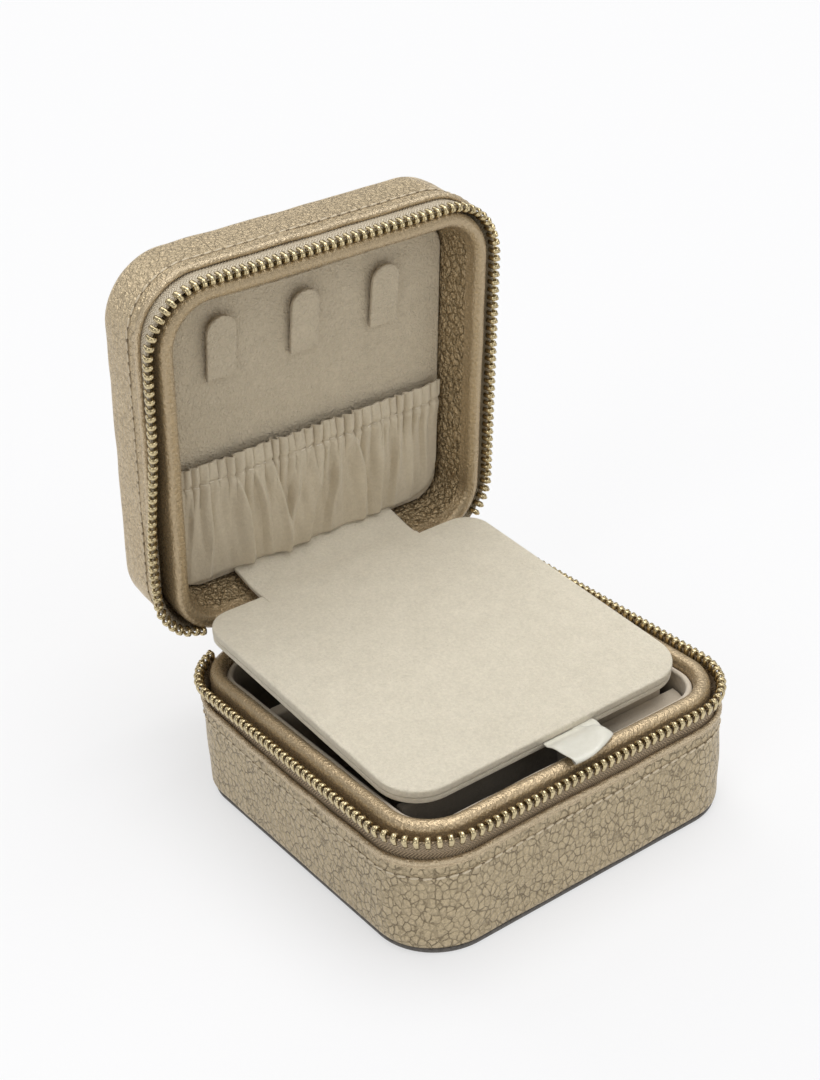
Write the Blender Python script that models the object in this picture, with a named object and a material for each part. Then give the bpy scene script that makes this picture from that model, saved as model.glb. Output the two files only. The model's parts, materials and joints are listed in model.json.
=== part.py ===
"""Travel jewelry case: two leather-wrapped halves joined at a leather spine and closed by a zip.

The lower half holds a suede tray with dividers and ring rolls, covered by a padded flap.
The upper half, open at rest, holds a lining panel with necklace straps and a gathered pocket.
Metres, +Z up, ribbon side towards -Y, hinge side towards +Y, origin under the middle of the base.
"""
from math import cos, pi, radians, sin

import bmesh
import bpy
from mathutils import Matrix, Vector

MM = 0.001
GAP = 0.3 * MM

# Outline shared by both halves
HALF = 51.0 * MM
CORNER = 17.0 * MM
BASE_EDGE = 28.3 * MM
PARTING = 35.0 * MM
LID_EDGE = 6.6 * MM
LID_BACK = 24.9 * MM
EDGE_ROUND = 3.0 * MM
LID_ROUND = 4.0 * MM
WALL_IN = 48.4 * MM
LIP_IN = 50.2 * MM
LIP_DEPTH = 3.6 * MM
FLOOR_TOP = 3.0 * MM
SHELL_BOTTOM = 1.2 * MM
LIP_SOFT = 0.3 * MM
LID_SKIN = 1.8 * MM
PANEL_OVERHANG = 0.9 * MM

# Lid at rest
LID_OPEN = 84.0
HINGE = Vector((0.0, HALF, PARTING))

# Zip
CHAIN_MID = 49.9 * MM
TAPE_HALF_THICK = 0.25 * MM
TAPE_INSET = 0.2 * MM
TAPE_IN_SHELL = 3.0 * MM
CHAIN_CLEAR = 0.25 * MM
CHAIN_HEIGHT = 2.4 * MM
CORE_DEPTH = 1.3 * MM
CORE_SET_BACK = 0.2 * MM
TOOTH_FLANK = 0.02 * MM
TOOTH_PITCH = 2.25 * MM
TOOTH_WIDTH = 1.2 * MM
TOOTH_REACH = 1.05 * MM
CORE_REACH = 0.4 * MM
ZIP_END = 64.0
CHAIN_END_RIGHT = 32.0

# Spine
SPINE_HALF = 34.0 * MM
SPINE_INNER = HALF - 1.55 * MM
SPINE_OUTER = HALF - 0.1 * MM
SPINE_GAP = 0.4 * MM
SPINE_SOFT = 0.3 * MM

# Collar, rim and tray
COLLAR_OUT = 48.1 * MM
COLLAR_IN = 44.4 * MM
COLLAR_TOP = 34.7 * MM
RIM_START = 0.5 * MM
PANEL_FRONT = 11.8 * MM
PANEL_THICK = 1.5 * MM
RIM_IN_DEEP = 42.0 * MM
LINER_OUT = 44.1 * MM
LINER_IN = 42.6 * MM
LINER_TOP = 32.4 * MM
LINER_LIP = 0.5 * MM
TRAY_FLOOR = 6.0 * MM
PANEL_LIP = 0.4 * MM

# Gathered pocket, in the lid's own frame; each depth is how far it stands off the panel
POCKET_HALF = 40.4 * MM
POCKET_ROUND = 7.5 * MM
POCKET_TOP = -47.0 * MM
POCKET_STITCH = -41.5 * MM
POCKET_BELLY = -31.0 * MM
POCKET_LOW = -16.4 * MM
POCKET_BOTTOM = -12.4 * MM
HEM_DEPTH = 1.6 * MM
STITCH_DEPTH = 1.4 * MM
BELLY_DEPTH = 2.9 * MM
LOW_DEPTH = 2.6 * MM
BOTTOM_DEPTH = 1.0 * MM

# Flap
CREASE = Vector((0.0, -7.3 * MM, -1.2 * MM))
FLAP_TILT = 5.1
CREASE_RADIUS = 0.8 * MM
TAB_HALF = 24.5 * MM
FLAP_HALF = 43.4 * MM
TAB_THICK = 1.6 * MM
TAB_GAP = 0.35 * MM
TAB_BEND = 2.0 * MM
FLAP_REAR = -1.5 * MM
FLAP_FRONT = -87.5 * MM
FLAP_FRONT_ROUND = 11.0 * MM
FLAP_REAR_ROUND = 7.0 * MM
FLAP_LOW = -1.08 * MM
FLAP_SEAM = 0.8 * MM
SEAM_GAP = 0.15 * MM
FLAP_TOP = 2.82 * MM
TOP_SOFT = 0.6 * MM
UNDER_SOFT = 0.5 * MM
NOTCH_SIDE = 0.7 * MM
NOTCH_DEPTH = 1.1 * MM
RIBBON_HALF = 6.0 * MM
RIBBON_LENGTH = 10.4 * MM
RIBBON_THICK = 0.5 * MM
RIBBON_RISE = 3.0
RIBBON_GAP = 0.35 * MM

# Necklace straps, in the lid's own frame
STRAP_XS = (-26.6 * MM, -2.3 * MM, 22.1 * MM)
STRAP_FOOT = -69.0 * MM
STRAP_LENGTH = 17.3 * MM
STRAP_HALF = 4.15 * MM
STRAP_THICK = 1.0 * MM
STRAP_TILT = 4.5
STRAP_SINK = 0.6 * MM
STRAP_SOFT = 0.3 * MM
STUD_FOOT = 2.4 * MM
STUD_HEAD = 2.0 * MM

# Tray fittings
DIVIDER_TOP = 31.6 * MM
FRONT_DIVIDER_Y = -33.0 * MM
FRONT_DIVIDER_THICK = 2.4 * MM
FRONT_DIVIDER_END = 38.5 * MM
DIVIDER_SOFT = 0.6 * MM
CENTRE_X = 1.2 * MM
CENTRE_REACH = 1.2 * MM
SIDE_DIVIDER_Y = 19.0 * MM
SIDE_REACH = 1.8 * MM
STEP_DOWN = 1.0 * MM
SHELF_LEFT = 4.0 * MM
SHELF_TOP = 28.0 * MM
SHELF_SOFT = 0.5 * MM
ROLL_COUNT = 5
ROLL_WIDTH = 13.2 * MM
ROLL_PITCH = 14.1 * MM
ROLL_TOP = 27.0 * MM
ROLL_END = 39.5 * MM
ROLL_START = 0.9 * MM
ROLL_SOFT = 0.8 * MM

# Slider and pull
SLIDER_ANGLE = 50.0
SLIDER_LENGTH = 8.0 * MM
SLIDER_LOW = PARTING - 2.7 * MM
SLIDER_HIGH = PARTING + 3.9 * MM
SLIDER_DEPTH = 3.6 * MM
SLIDER_SHIFT = 0.45 * MM
SLIDER_SOFT = 0.6 * MM
BAR_OUT = 3.2 * MM
BAR_THICK = 0.7 * MM
BAR_LENGTH = 4.6 * MM
POST_SIDE = 2.1 * MM
POST_BACK = 0.75 * MM
POST_SIZE = (2.5 * MM, 0.9 * MM, 1.2 * MM)
KNUCKLE_OUTER = 1.2 * MM
KNUCKLE_INNER = 0.7 * MM
KNUCKLE_HALF = 1.3 * MM
PULL_LENGTH = 18.0 * MM
PULL_HALF = 2.4 * MM
PULL_THICK = 1.0 * MM
NECK_START = 0.95 * MM
NECK_END = 4.0 * MM
SHOULDER = 6.5 * MM

LEATHER = ("leather", (0.50, 0.40, 0.27), 0.42, 0.35)
SMOOTH_LEATHER = ("smooth_leather", (0.47, 0.36, 0.23), 0.34, 0.4)
SUEDE = ("suede", (0.66, 0.58, 0.47), 0.95, 0.0)
FLAP_SUEDE = ("flap_suede", (0.80, 0.73, 0.62), 0.95, 0.0)
METAL = ("zip_metal", (0.83, 0.73, 0.47), 0.22, 1.0)
TAPE = ("zip_tape", (0.42, 0.35, 0.27), 0.8, 0.0)
SATIN = ("satin_ribbon", (0.90, 0.88, 0.80), 0.35, 0.0)
BOARD = ("base_board", (0.22, 0.19, 0.16), 0.7, 0.0)


def clear_scene():
    for item in list(bpy.data.objects):
        bpy.data.objects.remove(item, do_unlink=True)


def material(name, spec):
    """A Principled material with the piece's own colour, roughness and metallic value."""
    kind, colour, roughness, metallic = spec
    mat = bpy.data.materials.new(f"{name}_{kind}")
    mat.use_nodes = True
    shader = mat.node_tree.nodes["Principled BSDF"]
    shader.inputs["Base Color"].default_value = (*colour, 1.0)
    shader.inputs["Roughness"].default_value = roughness
    shader.inputs["Metallic"].default_value = metallic
    return mat


def pivot(name, location, rotation_x=0.0, parent=None):
    empty = bpy.data.objects.new(name, None)
    bpy.context.collection.objects.link(empty)
    empty.location = location
    empty.rotation_euler = (rotation_x, 0.0, 0.0)
    empty.parent = parent
    return empty


def add_solid(name, bm, spec, parent=None, smooth=True):
    """Turn a bmesh into the named object, with outward normals and smooth round faces."""
    bmesh.ops.recalc_face_normals(bm, faces=bm.faces)
    mesh = bpy.data.meshes.new(name)
    bm.to_mesh(mesh)
    bm.free()
    mesh.materials.append(material(name, spec))
    if smooth:
        mesh.shade_smooth()
        mesh.set_sharp_from_angle(angle=radians(40.0))
    obj = bpy.data.objects.new(name, mesh)
    bpy.context.collection.objects.link(obj)
    obj.parent = parent
    return obj


def soften(obj, width, segments=2):
    """Round the sharp edges of a flat piece."""
    bevel = obj.modifiers.new("soft_edge", "BEVEL")
    bevel.width = width
    bevel.segments = segments
    bevel.limit_method = "ANGLE"
    bevel.angle_limit = radians(50.0)
    return bevel


def arc(centre_a, centre_b, radius, start, end, steps):
    """Points of an arc in a section, angles in degrees."""
    angles = [radians(start + (end - start) * i / steps) for i in range(steps + 1)]
    return [(centre_a + radius * cos(t), centre_b + radius * sin(t)) for t in angles]


def corner_radius(half):
    return CORNER - (HALF - half)


def square_loop(half, steps=7):
    """Rounded square, concentric with the case's outline."""
    radius = corner_radius(half)
    flat = half - radius
    points = []
    for quarter, (sx, sy) in enumerate(((1, 1), (-1, 1), (-1, -1), (1, -1))):
        points += arc(sx * flat, sy * flat, radius, 90 * quarter, 90 * quarter + 90, steps)
    return points


def loft(section, centre_y=0.0, ring=False):
    """Skin rounded squares along a section of (half width, height); a ring closes on itself."""
    bm = bmesh.new()
    loops = []
    for half, height in section:
        loops.append([bm.verts.new((x, y + centre_y, height)) for x, y in square_loop(half)])
    count = len(loops[0])
    pairs = list(zip(loops, loops[1:]))
    if ring:
        pairs.append((loops[-1], loops[0]))
    for lower, upper in pairs:
        for i in range(count):
            j = (i + 1) % count
            bm.faces.new((lower[i], lower[j], upper[j], upper[i]))
    if not ring:
        bm.faces.new(loops[0])
        bm.faces.new(loops[-1])
    return bm


def rail_pieces(half, end_left, end_right):
    """The zip's path from the left rear corner, round the front, to the right rear corner."""
    radius = corner_radius(half)
    flat = half - radius
    return [
        ("arc", (-flat, flat), radius, 180.0 - end_left, 180.0),
        ("line", (-half, flat), (-half, -flat)),
        ("arc", (-flat, -flat), radius, 180.0, 270.0),
        ("line", (-flat, -half), (flat, -half)),
        ("arc", (flat, -flat), radius, 270.0, 360.0),
        ("line", (half, -flat), (half, flat)),
        ("arc", (flat, flat), radius, 0.0, end_right),
    ]


def piece_length(piece):
    if piece[0] == "line":
        return (Vector(piece[2]) - Vector(piece[1])).length
    return piece[2] * radians(piece[4] - piece[3])


def piece_point(piece, share):
    """Point and outward normal at a share of one piece's length."""
    if piece[0] == "line":
        start = Vector(piece[1])
        along = Vector(piece[2]) - start
        return start + along * share, Vector((along.y, -along.x)).normalized()
    angle = radians(piece[3] + (piece[4] - piece[3]) * share)
    normal = Vector((cos(angle), sin(angle)))
    return Vector(piece[1]) + normal * piece[2], normal


def rail_point(pieces, distance):
    for piece in pieces:
        length = piece_length(piece)
        if distance <= length:
            return piece_point(piece, distance / length)
        distance -= length
    return piece_point(pieces[-1], 1.0)


def sweep(stations):
    """Skin sections along a rail; a station is (point, normal, section of (outward, height))."""
    bm = bmesh.new()
    rings = []
    for point, normal, section in stations:
        ring = []
        for outward, height in section:
            spot = point + normal * outward
            ring.append(bm.verts.new((spot.x, spot.y, height)))
        rings.append(ring)
    for first, second in zip(rings, rings[1:]):
        for i in range(len(first)):
            j = (i + 1) % len(first)
            bm.faces.new((first[i], first[j], second[j], second[i]))
    bm.faces.new(rings[0])
    bm.faces.new(rings[-1])
    return bm


def box_section(reach, low, high):
    return [(-reach, low), (reach, low), (reach, high), (-reach, high)]


def tape_mesh(low, high, end_right):
    pieces = rail_pieces(CHAIN_MID - TAPE_INSET, ZIP_END, end_right)
    section = box_section(TAPE_HALF_THICK, low, high)
    stations = []
    for index, piece in enumerate(pieces):
        steps = 8 if piece[0] == "arc" else 1
        first = 0 if index == 0 else 1
        for i in range(first, steps + 1):
            point, normal = piece_point(piece, i / steps)
            stations.append((point, normal, section))
    return sweep(stations)


def chain_mesh(low, high, root_low):
    """A row of teeth standing on a core strip; the core lies on the tape's side of the teeth."""
    pieces = rail_pieces(CHAIN_MID, ZIP_END, CHAIN_END_RIGHT)
    total = sum(piece_length(piece) for piece in pieces)
    count = int((total - TOOTH_WIDTH) / TOOTH_PITCH)
    margin = (total - (count - 1) * TOOTH_PITCH) / 2
    if root_low:
        core = box_section(CORE_REACH, low + CORE_SET_BACK, low + CORE_DEPTH)
    else:
        core = box_section(CORE_REACH, high - CORE_DEPTH, high - CORE_SET_BACK)
    tooth = box_section(TOOTH_REACH, low, high)
    stations = []
    for k in range(count):
        middle = margin + k * TOOTH_PITCH
        near = middle - TOOTH_WIDTH / 2
        far = middle + TOOTH_WIDTH / 2
        for distance, section in ((near - TOOTH_FLANK, core), (near, tooth), (far, tooth), (far + TOOTH_FLANK, core)):
            point, normal = rail_point(pieces, distance)
            stations.append((point, normal, section))
    return sweep(stations)


def prism(outline, low, high, axis="Z"):
    """Extrude a closed outline along an axis. For X the outline is (y, z); for Z it is (x, y)."""
    bm = bmesh.new()
    place = {
        "X": lambda a, b, c: (c, a, b),
        "Z": lambda a, b, c: (a, b, c),
    }[axis]
    face = bm.faces.new([bm.verts.new(place(a, b, low)) for a, b in outline])
    grown = bmesh.ops.extrude_face_region(bm, geom=[face])
    tops = [item for item in grown["geom"] if isinstance(item, bmesh.types.BMVert)]
    shift = Vector(place(0.0, 0.0, high - low))
    bmesh.ops.translate(bm, verts=tops, vec=shift)
    return bm


def box(low, high):
    outline = [(low[0], low[1]), (high[0], low[1]), (high[0], high[1]), (low[0], high[1])]
    return prism(outline, low[2], high[2])


# ---- lower half -------------------------------------------------------------------------------

def shell_section(floor_in, floor_out, edge, rounding):
    """Cup section from the inside of its floor, over the folded lip, to the outside of its floor.

    Heights run towards the lip, so a lid passes negative heights.
    """
    sign = 1.0 if edge > floor_out else -1.0
    lip = LIP_SOFT
    outer = HALF - rounding
    section = [(WALL_IN, floor_in), (WALL_IN, edge - sign * LIP_DEPTH), (LIP_IN, edge - sign * LIP_DEPTH)]
    section += [(LIP_IN, edge - sign * lip), (LIP_IN + lip, edge), (HALF - lip, edge)]
    section += [(HALF, edge - sign * lip)]
    for half, drop in arc(outer, 0.0, rounding, 0.0, 90.0, 4):
        section.append((half, floor_out + sign * (rounding - drop)))
    return section


def build_base_shell():
    section = shell_section(FLOOR_TOP, SHELL_BOTTOM, BASE_EDGE, EDGE_ROUND)
    add_solid("base_shell", loft(section), LEATHER)


def build_base_bottom_panel():
    half = HALF - EDGE_ROUND + PANEL_OVERHANG
    section = [(half - LIP_SOFT, 0.0), (half, LIP_SOFT), (half, SHELL_BOTTOM - GAP)]
    add_solid("base_bottom_panel", loft(section), BOARD)


def crest_section(height, sign):
    """Rounded crest of a leather-wrapped wall; the sign says which way the crest points."""
    middle = (COLLAR_OUT + COLLAR_IN) / 2
    radius = (COLLAR_OUT - COLLAR_IN) / 2
    return [(half, height - sign * (radius - rise)) for half, rise in arc(middle, 0.0, radius, 0.0, 180.0, 6)]


def build_base_collar():
    foot = FLOOR_TOP + GAP
    section = [(COLLAR_IN, foot), (COLLAR_OUT, foot)] + crest_section(COLLAR_TOP, 1.0)
    add_solid("base_collar", loft(section, ring=True), SMOOTH_LEATHER)


def build_base_zip():
    chain_low = PARTING - CHAIN_CLEAR - CHAIN_HEIGHT
    tape = tape_mesh(BASE_EDGE - TAPE_IN_SHELL, chain_low - GAP, ZIP_END)
    add_solid("base_zipper_tape", tape, TAPE)
    chain = chain_mesh(chain_low, chain_low + CHAIN_HEIGHT, root_low=True)
    add_solid("base_zipper_chain", chain, METAL, smooth=False)


def build_spine_half(name, low, high, parent=None, centre_y=0.0):
    """Half of the leather spine that joins the two halves across the back."""
    near = (-SPINE_HALF, centre_y + SPINE_INNER, low)
    far = (SPINE_HALF, centre_y + SPINE_OUTER, high)
    soften(add_solid(name, box(near, far), SMOOTH_LEATHER, parent), SPINE_SOFT)


def build_tray_liner():
    foot = FLOOR_TOP + GAP
    edge = LINER_TOP - LINER_LIP
    section = [(LINER_IN, TRAY_FLOOR), (LINER_IN, edge), (LINER_IN + LINER_LIP, LINER_TOP)]
    section += [(LINER_OUT - LINER_LIP, LINER_TOP), (LINER_OUT, edge), (LINER_OUT, foot)]
    add_solid("tray_liner", loft(section), SUEDE)


def build_tray_dividers():
    low = TRAY_FLOOR + GAP
    reach = LINER_IN - GAP
    front_back = FRONT_DIVIDER_Y + FRONT_DIVIDER_THICK
    pieces = {
        "front_divider": (
            (-reach + STEP_DOWN, FRONT_DIVIDER_Y, low),
            (FRONT_DIVIDER_END, front_back, DIVIDER_TOP),
        ),
        "centre_divider": (
            (CENTRE_X - CENTRE_REACH, front_back + GAP, low),
            (CENTRE_X + CENTRE_REACH, reach, DIVIDER_TOP - STEP_DOWN),
        ),
        "side_divider": (
            (-reach, SIDE_DIVIDER_Y - SIDE_REACH, low),
            (CENTRE_X - CENTRE_REACH - GAP, SIDE_DIVIDER_Y + SIDE_REACH, DIVIDER_TOP),
        ),
    }
    for name, (near, far) in pieces.items():
        soften(add_solid(name, box(near, far), SUEDE), DIVIDER_SOFT)


def build_front_shelf():
    """Raised floor of the shallow compartment at the front right."""
    reach = LINER_IN - GAP
    radius = corner_radius(reach)
    outline = [(SHELF_LEFT, -reach)]
    outline += arc(reach - radius, -reach + radius, radius, 270.0, 360.0, 6)
    outline += [(reach, FRONT_DIVIDER_Y - GAP), (SHELF_LEFT, FRONT_DIVIDER_Y - GAP)]
    shelf = add_solid("front_shelf", prism(outline, TRAY_FLOOR + GAP, SHELF_TOP), SUEDE)
    soften(shelf, SHELF_SOFT, 1)


def build_ring_rolls():
    """Padded rolls that stand side by side and grip rings between them."""
    low = TRAY_FLOOR + GAP
    radius = ROLL_WIDTH / 2
    left = CENTRE_X + CENTRE_REACH + GAP
    first = FRONT_DIVIDER_Y + FRONT_DIVIDER_THICK + ROLL_START + radius
    for index in range(ROLL_COUNT):
        middle = first + index * ROLL_PITCH
        outline = [(middle - radius, low), (middle + radius, low)]
        outline += arc(middle, ROLL_TOP - radius, radius, 0.0, 180.0, 8)
        roll = add_solid(f"ring_roll_{index + 1}", prism(outline, left, ROLL_END, "X"), SUEDE)
        soften(roll, ROLL_SOFT, 1)


def slider_frame():
    """Where the slider sits on the right rear corner: centre, outward and along directions."""
    radius = corner_radius(CHAIN_MID)
    flat = CHAIN_MID - radius
    outward = Vector((cos(radians(SLIDER_ANGLE)), sin(radians(SLIDER_ANGLE)), 0.0))
    along = Vector((-outward.y, outward.x, 0.0))
    return Vector((flat, flat, 0.0)) + outward * (radius + SLIDER_SHIFT), outward, along


def turned_box(centre, outward, along, size):
    """Box of size (outward, along, height) about a centre."""
    bm = bmesh.new()
    bmesh.ops.create_cube(bm, size=1.0)
    frame = Matrix.Identity(4)
    frame.col[0] = (*outward * size[0], 0.0)
    frame.col[1] = (*along * size[1], 0.0)
    frame.col[2] = (0.0, 0.0, size[2], 0.0)
    frame.translation = centre
    bmesh.ops.transform(bm, matrix=frame, verts=bm.verts)
    return bm


def fuse(target, tool):
    """Join a helper solid into a target by an exact union and hide the helper."""
    union = target.modifiers.new("union", "BOOLEAN")
    union.operation = "UNION"
    union.object = tool
    apply_modifiers(target)
    bpy.data.objects.remove(tool, do_unlink=True)


def apply_modifiers(obj):
    graph = bpy.context.evaluated_depsgraph_get()
    solid = bpy.data.meshes.new_from_object(obj.evaluated_get(graph))
    obj.modifiers.clear()
    obj.data = solid


def build_slider():
    """Slider with the cross bar that its pull hangs from."""
    centre, outward, along = slider_frame()
    middle = centre + Vector((0.0, 0.0, (SLIDER_LOW + SLIDER_HIGH) / 2))
    size = (SLIDER_DEPTH, SLIDER_LENGTH, SLIDER_HIGH - SLIDER_LOW)
    slider = add_solid("zipper_slider", turned_box(middle, outward, along, size), METAL)
    soften(slider, SLIDER_SOFT)
    bar_spot = centre + outward * BAR_OUT + Vector((0.0, 0.0, PARTING))
    for side in (-1, 1):
        spot = bar_spot + along * side * POST_SIDE - outward * POST_BACK
        fuse(slider, add_solid("post", turned_box(spot, outward, along, POST_SIZE), METAL))
    bar = turned_box(bar_spot, outward, along, (BAR_THICK, BAR_LENGTH, BAR_THICK))
    fuse(slider, add_solid("bar", bar, METAL))


def build_pull():
    """Pull tab with a knuckle that turns on the slider's bar."""
    centre, outward, along = slider_frame()
    origin = centre + outward * BAR_OUT + Vector((0.0, 0.0, PARTING))
    outer = arc(0.0, 0.0, KNUCKLE_OUTER, 0.0, 360.0, 16)[:-1]
    inner = arc(0.0, 0.0, KNUCKLE_INNER, 0.0, 360.0, 16)[:-1]
    half = KNUCKLE_HALF
    bm = bmesh.new()
    rings = []
    for outline, side in ((outer, -half), (outer, half), (inner, half), (inner, -half)):
        rings.append([bm.verts.new((a, side, b)) for a, b in outline])
    for first, second in zip(rings, rings[1:] + rings[:1]):
        for i in range(len(first)):
            j = (i + 1) % len(first)
            bm.faces.new((first[i], first[j], second[j], second[i]))
    pull = add_solid("zipper_pull", bm, METAL)
    outline = [(-half, -NECK_START), (-half, -NECK_END), (-PULL_HALF, -SHOULDER)]
    outline += arc(0.0, -PULL_LENGTH + PULL_HALF, PULL_HALF, 180.0, 360.0, 8)
    outline += [(PULL_HALF, -SHOULDER), (half, -NECK_END), (half, -NECK_START)]
    plate = bmesh.new()
    face = plate.faces.new([plate.verts.new((-PULL_THICK / 2, a, b)) for a, b in outline])
    grown = bmesh.ops.extrude_face_region(plate, geom=[face])
    moved = [item for item in grown["geom"] if isinstance(item, bmesh.types.BMVert)]
    bmesh.ops.translate(plate, verts=moved, vec=(PULL_THICK, 0.0, 0.0))
    fuse(pull, add_solid("plate", plate, METAL))
    pull.location = origin
    pull.rotation_euler = (0.0, 0.0, radians(SLIDER_ANGLE))


# ---- upper half, in a frame whose origin is the hinge and whose +Z runs into the lid -----------

def build_lid_shell(lid):
    section = shell_section(-LID_BACK + LID_SKIN, -LID_BACK, -LID_EDGE, LID_ROUND)
    section = [(half, -height) for half, height in section]
    add_solid("lid_shell", loft(section, -HALF), LEATHER, lid)


def build_lid_rim(lid):
    """Leather-wrapped wall round the lid's opening, leaning in towards the lining panel."""
    foot = LID_BACK - LID_SKIN - GAP
    section = [(RIM_IN_DEEP, foot), (COLLAR_OUT, foot)] + crest_section(RIM_START, -1.0)
    section.append((RIM_IN_DEEP, PANEL_FRONT - GAP))
    add_solid("lid_rim", loft(section, -HALF, ring=True), SMOOTH_LEATHER, lid)


def build_lid_zip(lid):
    chain_low = CHAIN_CLEAR
    tape = tape_mesh(chain_low + CHAIN_HEIGHT + GAP, LID_EDGE + TAPE_IN_SHELL, CHAIN_END_RIGHT)
    chain = chain_mesh(chain_low, chain_low + CHAIN_HEIGHT, root_low=False)
    for bm in (tape, chain):
        bmesh.ops.translate(bm, verts=bm.verts, vec=(0.0, -HALF, 0.0))
    add_solid("lid_zipper_tape", tape, TAPE, lid)
    add_solid("lid_zipper_chain", chain, METAL, lid, smooth=False)


def build_lining_panel(lid):
    half = RIM_IN_DEEP - GAP
    soft = PANEL_FRONT + PANEL_LIP
    section = [(half - PANEL_LIP, PANEL_FRONT), (half, soft), (half, PANEL_FRONT + PANEL_THICK)]
    add_solid("lining_panel", loft(section, -HALF), SUEDE, lid)


def build_pocket(lid):
    """Gathered pocket front: flat at the elastic hem, fuller towards the bottom seam."""
    back = PANEL_FRONT - GAP
    section = [(POCKET_TOP, back), (POCKET_TOP, back - HEM_DEPTH), (POCKET_STITCH, back - STITCH_DEPTH)]
    section += [(POCKET_BELLY, back - BELLY_DEPTH), (POCKET_LOW, back - LOW_DEPTH)]
    section += [(POCKET_BOTTOM, back - BOTTOM_DEPTH), (POCKET_BOTTOM, back)]
    pocket = add_solid("elastic_pocket", prism(section, -POCKET_HALF, POCKET_HALF, "X"), SUEDE, lid)
    trim_to_corner(pocket, POCKET_HALF, lid)


def trim_to_corner(obj, half, parent):
    """Keep only what lies inside a rounded square, so the piece follows the lid's corners."""
    radius = POCKET_ROUND
    flat = half - radius
    outline = []
    for quarter, (sx, sy) in enumerate(((1, 1), (-1, 1), (-1, -1), (1, -1))):
        outline += arc(sx * flat, sy * flat - HALF, radius, 90 * quarter, 90 * quarter + 90, 6)
    cutter = add_solid("corner_cutter", prism(outline, 0.0, LID_BACK), SUEDE, parent)
    keep = obj.modifiers.new("corner", "BOOLEAN")
    keep.operation = "INTERSECT"
    keep.object = cutter
    bpy.context.view_layer.update()
    apply_modifiers(obj)
    bpy.data.objects.remove(cutter, do_unlink=True)


def strap_outline():
    """Straight foot at the hinge, round head at the snap."""
    neck = STRAP_LENGTH - STRAP_HALF
    return [(STRAP_HALF, 0.0)] + arc(0.0, neck, STRAP_HALF, 0.0, 180.0, 10) + [(-STRAP_HALF, 0.0)]


def build_necklace_straps(lid):
    """Snap-down straps; each turns on its foot and closes on a stud near its head."""
    foot_depth = PANEL_FRONT - STRAP_SINK
    for index, x in enumerate(STRAP_XS):
        hinge = pivot(f"strap_pivot_{index + 1}", (x, STRAP_FOOT, foot_depth), radians(STRAP_TILT), lid)
        outline = [(a, -b) for a, b in strap_outline()]
        strap = add_solid(f"necklace_strap_{index + 1}", prism(outline, -STRAP_THICK, 0.0), SUEDE, hinge)
        soften(strap, STRAP_SOFT, 1)
        head = STRAP_LENGTH - STRAP_HALF
        stud_top = foot_depth - head * sin(radians(STRAP_TILT)) + GAP
        bm = bmesh.new()
        bmesh.ops.create_cone(
            bm, cap_ends=True, segments=20, radius1=STUD_FOOT, radius2=STUD_HEAD, depth=PANEL_FRONT - GAP - stud_top,
        )
        spot = (x, STRAP_FOOT - head, (PANEL_FRONT - GAP + stud_top) / 2)
        bmesh.ops.rotate(bm, verts=bm.verts, matrix=Matrix.Rotation(pi, 3, "X"))
        bmesh.ops.translate(bm, verts=bm.verts, vec=spot)
        add_solid(f"snap_stud_{index + 1}", bm, METAL, lid)


def build_flap_tab(lid):
    """Suede tongue that lies on the lid's lower wall and holds the flap."""
    wall = COLLAR_IN - HALF
    near = CREASE.z + CREASE_RADIUS + TAB_GAP
    bend = RIM_START + TAB_BEND
    deep = PANEL_FRONT - TAB_GAP
    lean = COLLAR_IN - RIM_IN_DEEP
    outer = wall - TAB_GAP
    inner = outer - TAB_THICK
    section = [(outer, near), (outer, bend), (outer - lean, deep)]
    section += [(inner - lean, deep), (inner, bend), (inner, near)]
    add_solid("flap_tab", prism(section, -TAB_HALF, TAB_HALF, "X"), SUEDE, lid)


def build_flap_crease(crease):
    outline = arc(0.0, 0.0, CREASE_RADIUS, 0.0, 360.0, 12)[:-1]
    add_solid("flap_crease", prism(outline, -TAB_HALF, TAB_HALF, "X"), FLAP_SUEDE, crease)


def flap_outline(notch):
    """The flap seen from above, with an optional shallow notch where the ribbon folds up."""
    front_round = FLAP_FRONT_ROUND
    rear_round = FLAP_REAR_ROUND
    points = arc(FLAP_HALF - rear_round, FLAP_REAR - rear_round, rear_round, 0.0, 90.0, 6)
    points += arc(-FLAP_HALF + rear_round, FLAP_REAR - rear_round, rear_round, 90.0, 180.0, 6)
    points += arc(-FLAP_HALF + front_round, FLAP_FRONT + front_round, front_round, 180.0, 270.0, 8)
    if notch:
        side = RIBBON_HALF + NOTCH_SIDE
        depth = FLAP_FRONT + NOTCH_DEPTH
        points += [(-side, FLAP_FRONT), (-side, depth), (side, depth), (side, FLAP_FRONT)]
    points += arc(FLAP_HALF - front_round, FLAP_FRONT + front_round, front_round, 270.0, 360.0, 8)
    return points


def build_flap(crease):
    top = add_solid("flap_top_pad", prism(flap_outline(True), FLAP_SEAM + SEAM_GAP, FLAP_TOP), FLAP_SUEDE, crease)
    low = add_solid("flap_under_pad", prism(flap_outline(False), FLAP_LOW, FLAP_SEAM - SEAM_GAP), FLAP_SUEDE, crease)
    soften(top, TOP_SOFT)
    soften(low, UNDER_SOFT)


def build_ribbon(crease):
    """Pull ribbon on its fold line, just ahead of the flap's front edge."""
    rise = radians(-FLAP_TILT - RIBBON_RISE)
    fold = pivot("ribbon_pivot", (0.0, FLAP_FRONT - RIBBON_GAP, FLAP_SEAM), rise, crease)
    half = RIBBON_THICK / 2
    low = (-RIBBON_HALF, -RIBBON_LENGTH, -half)
    high = (RIBBON_HALF, 0.0, half)
    add_solid("ribbon_pull", box(low, high), SATIN, fold)


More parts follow.
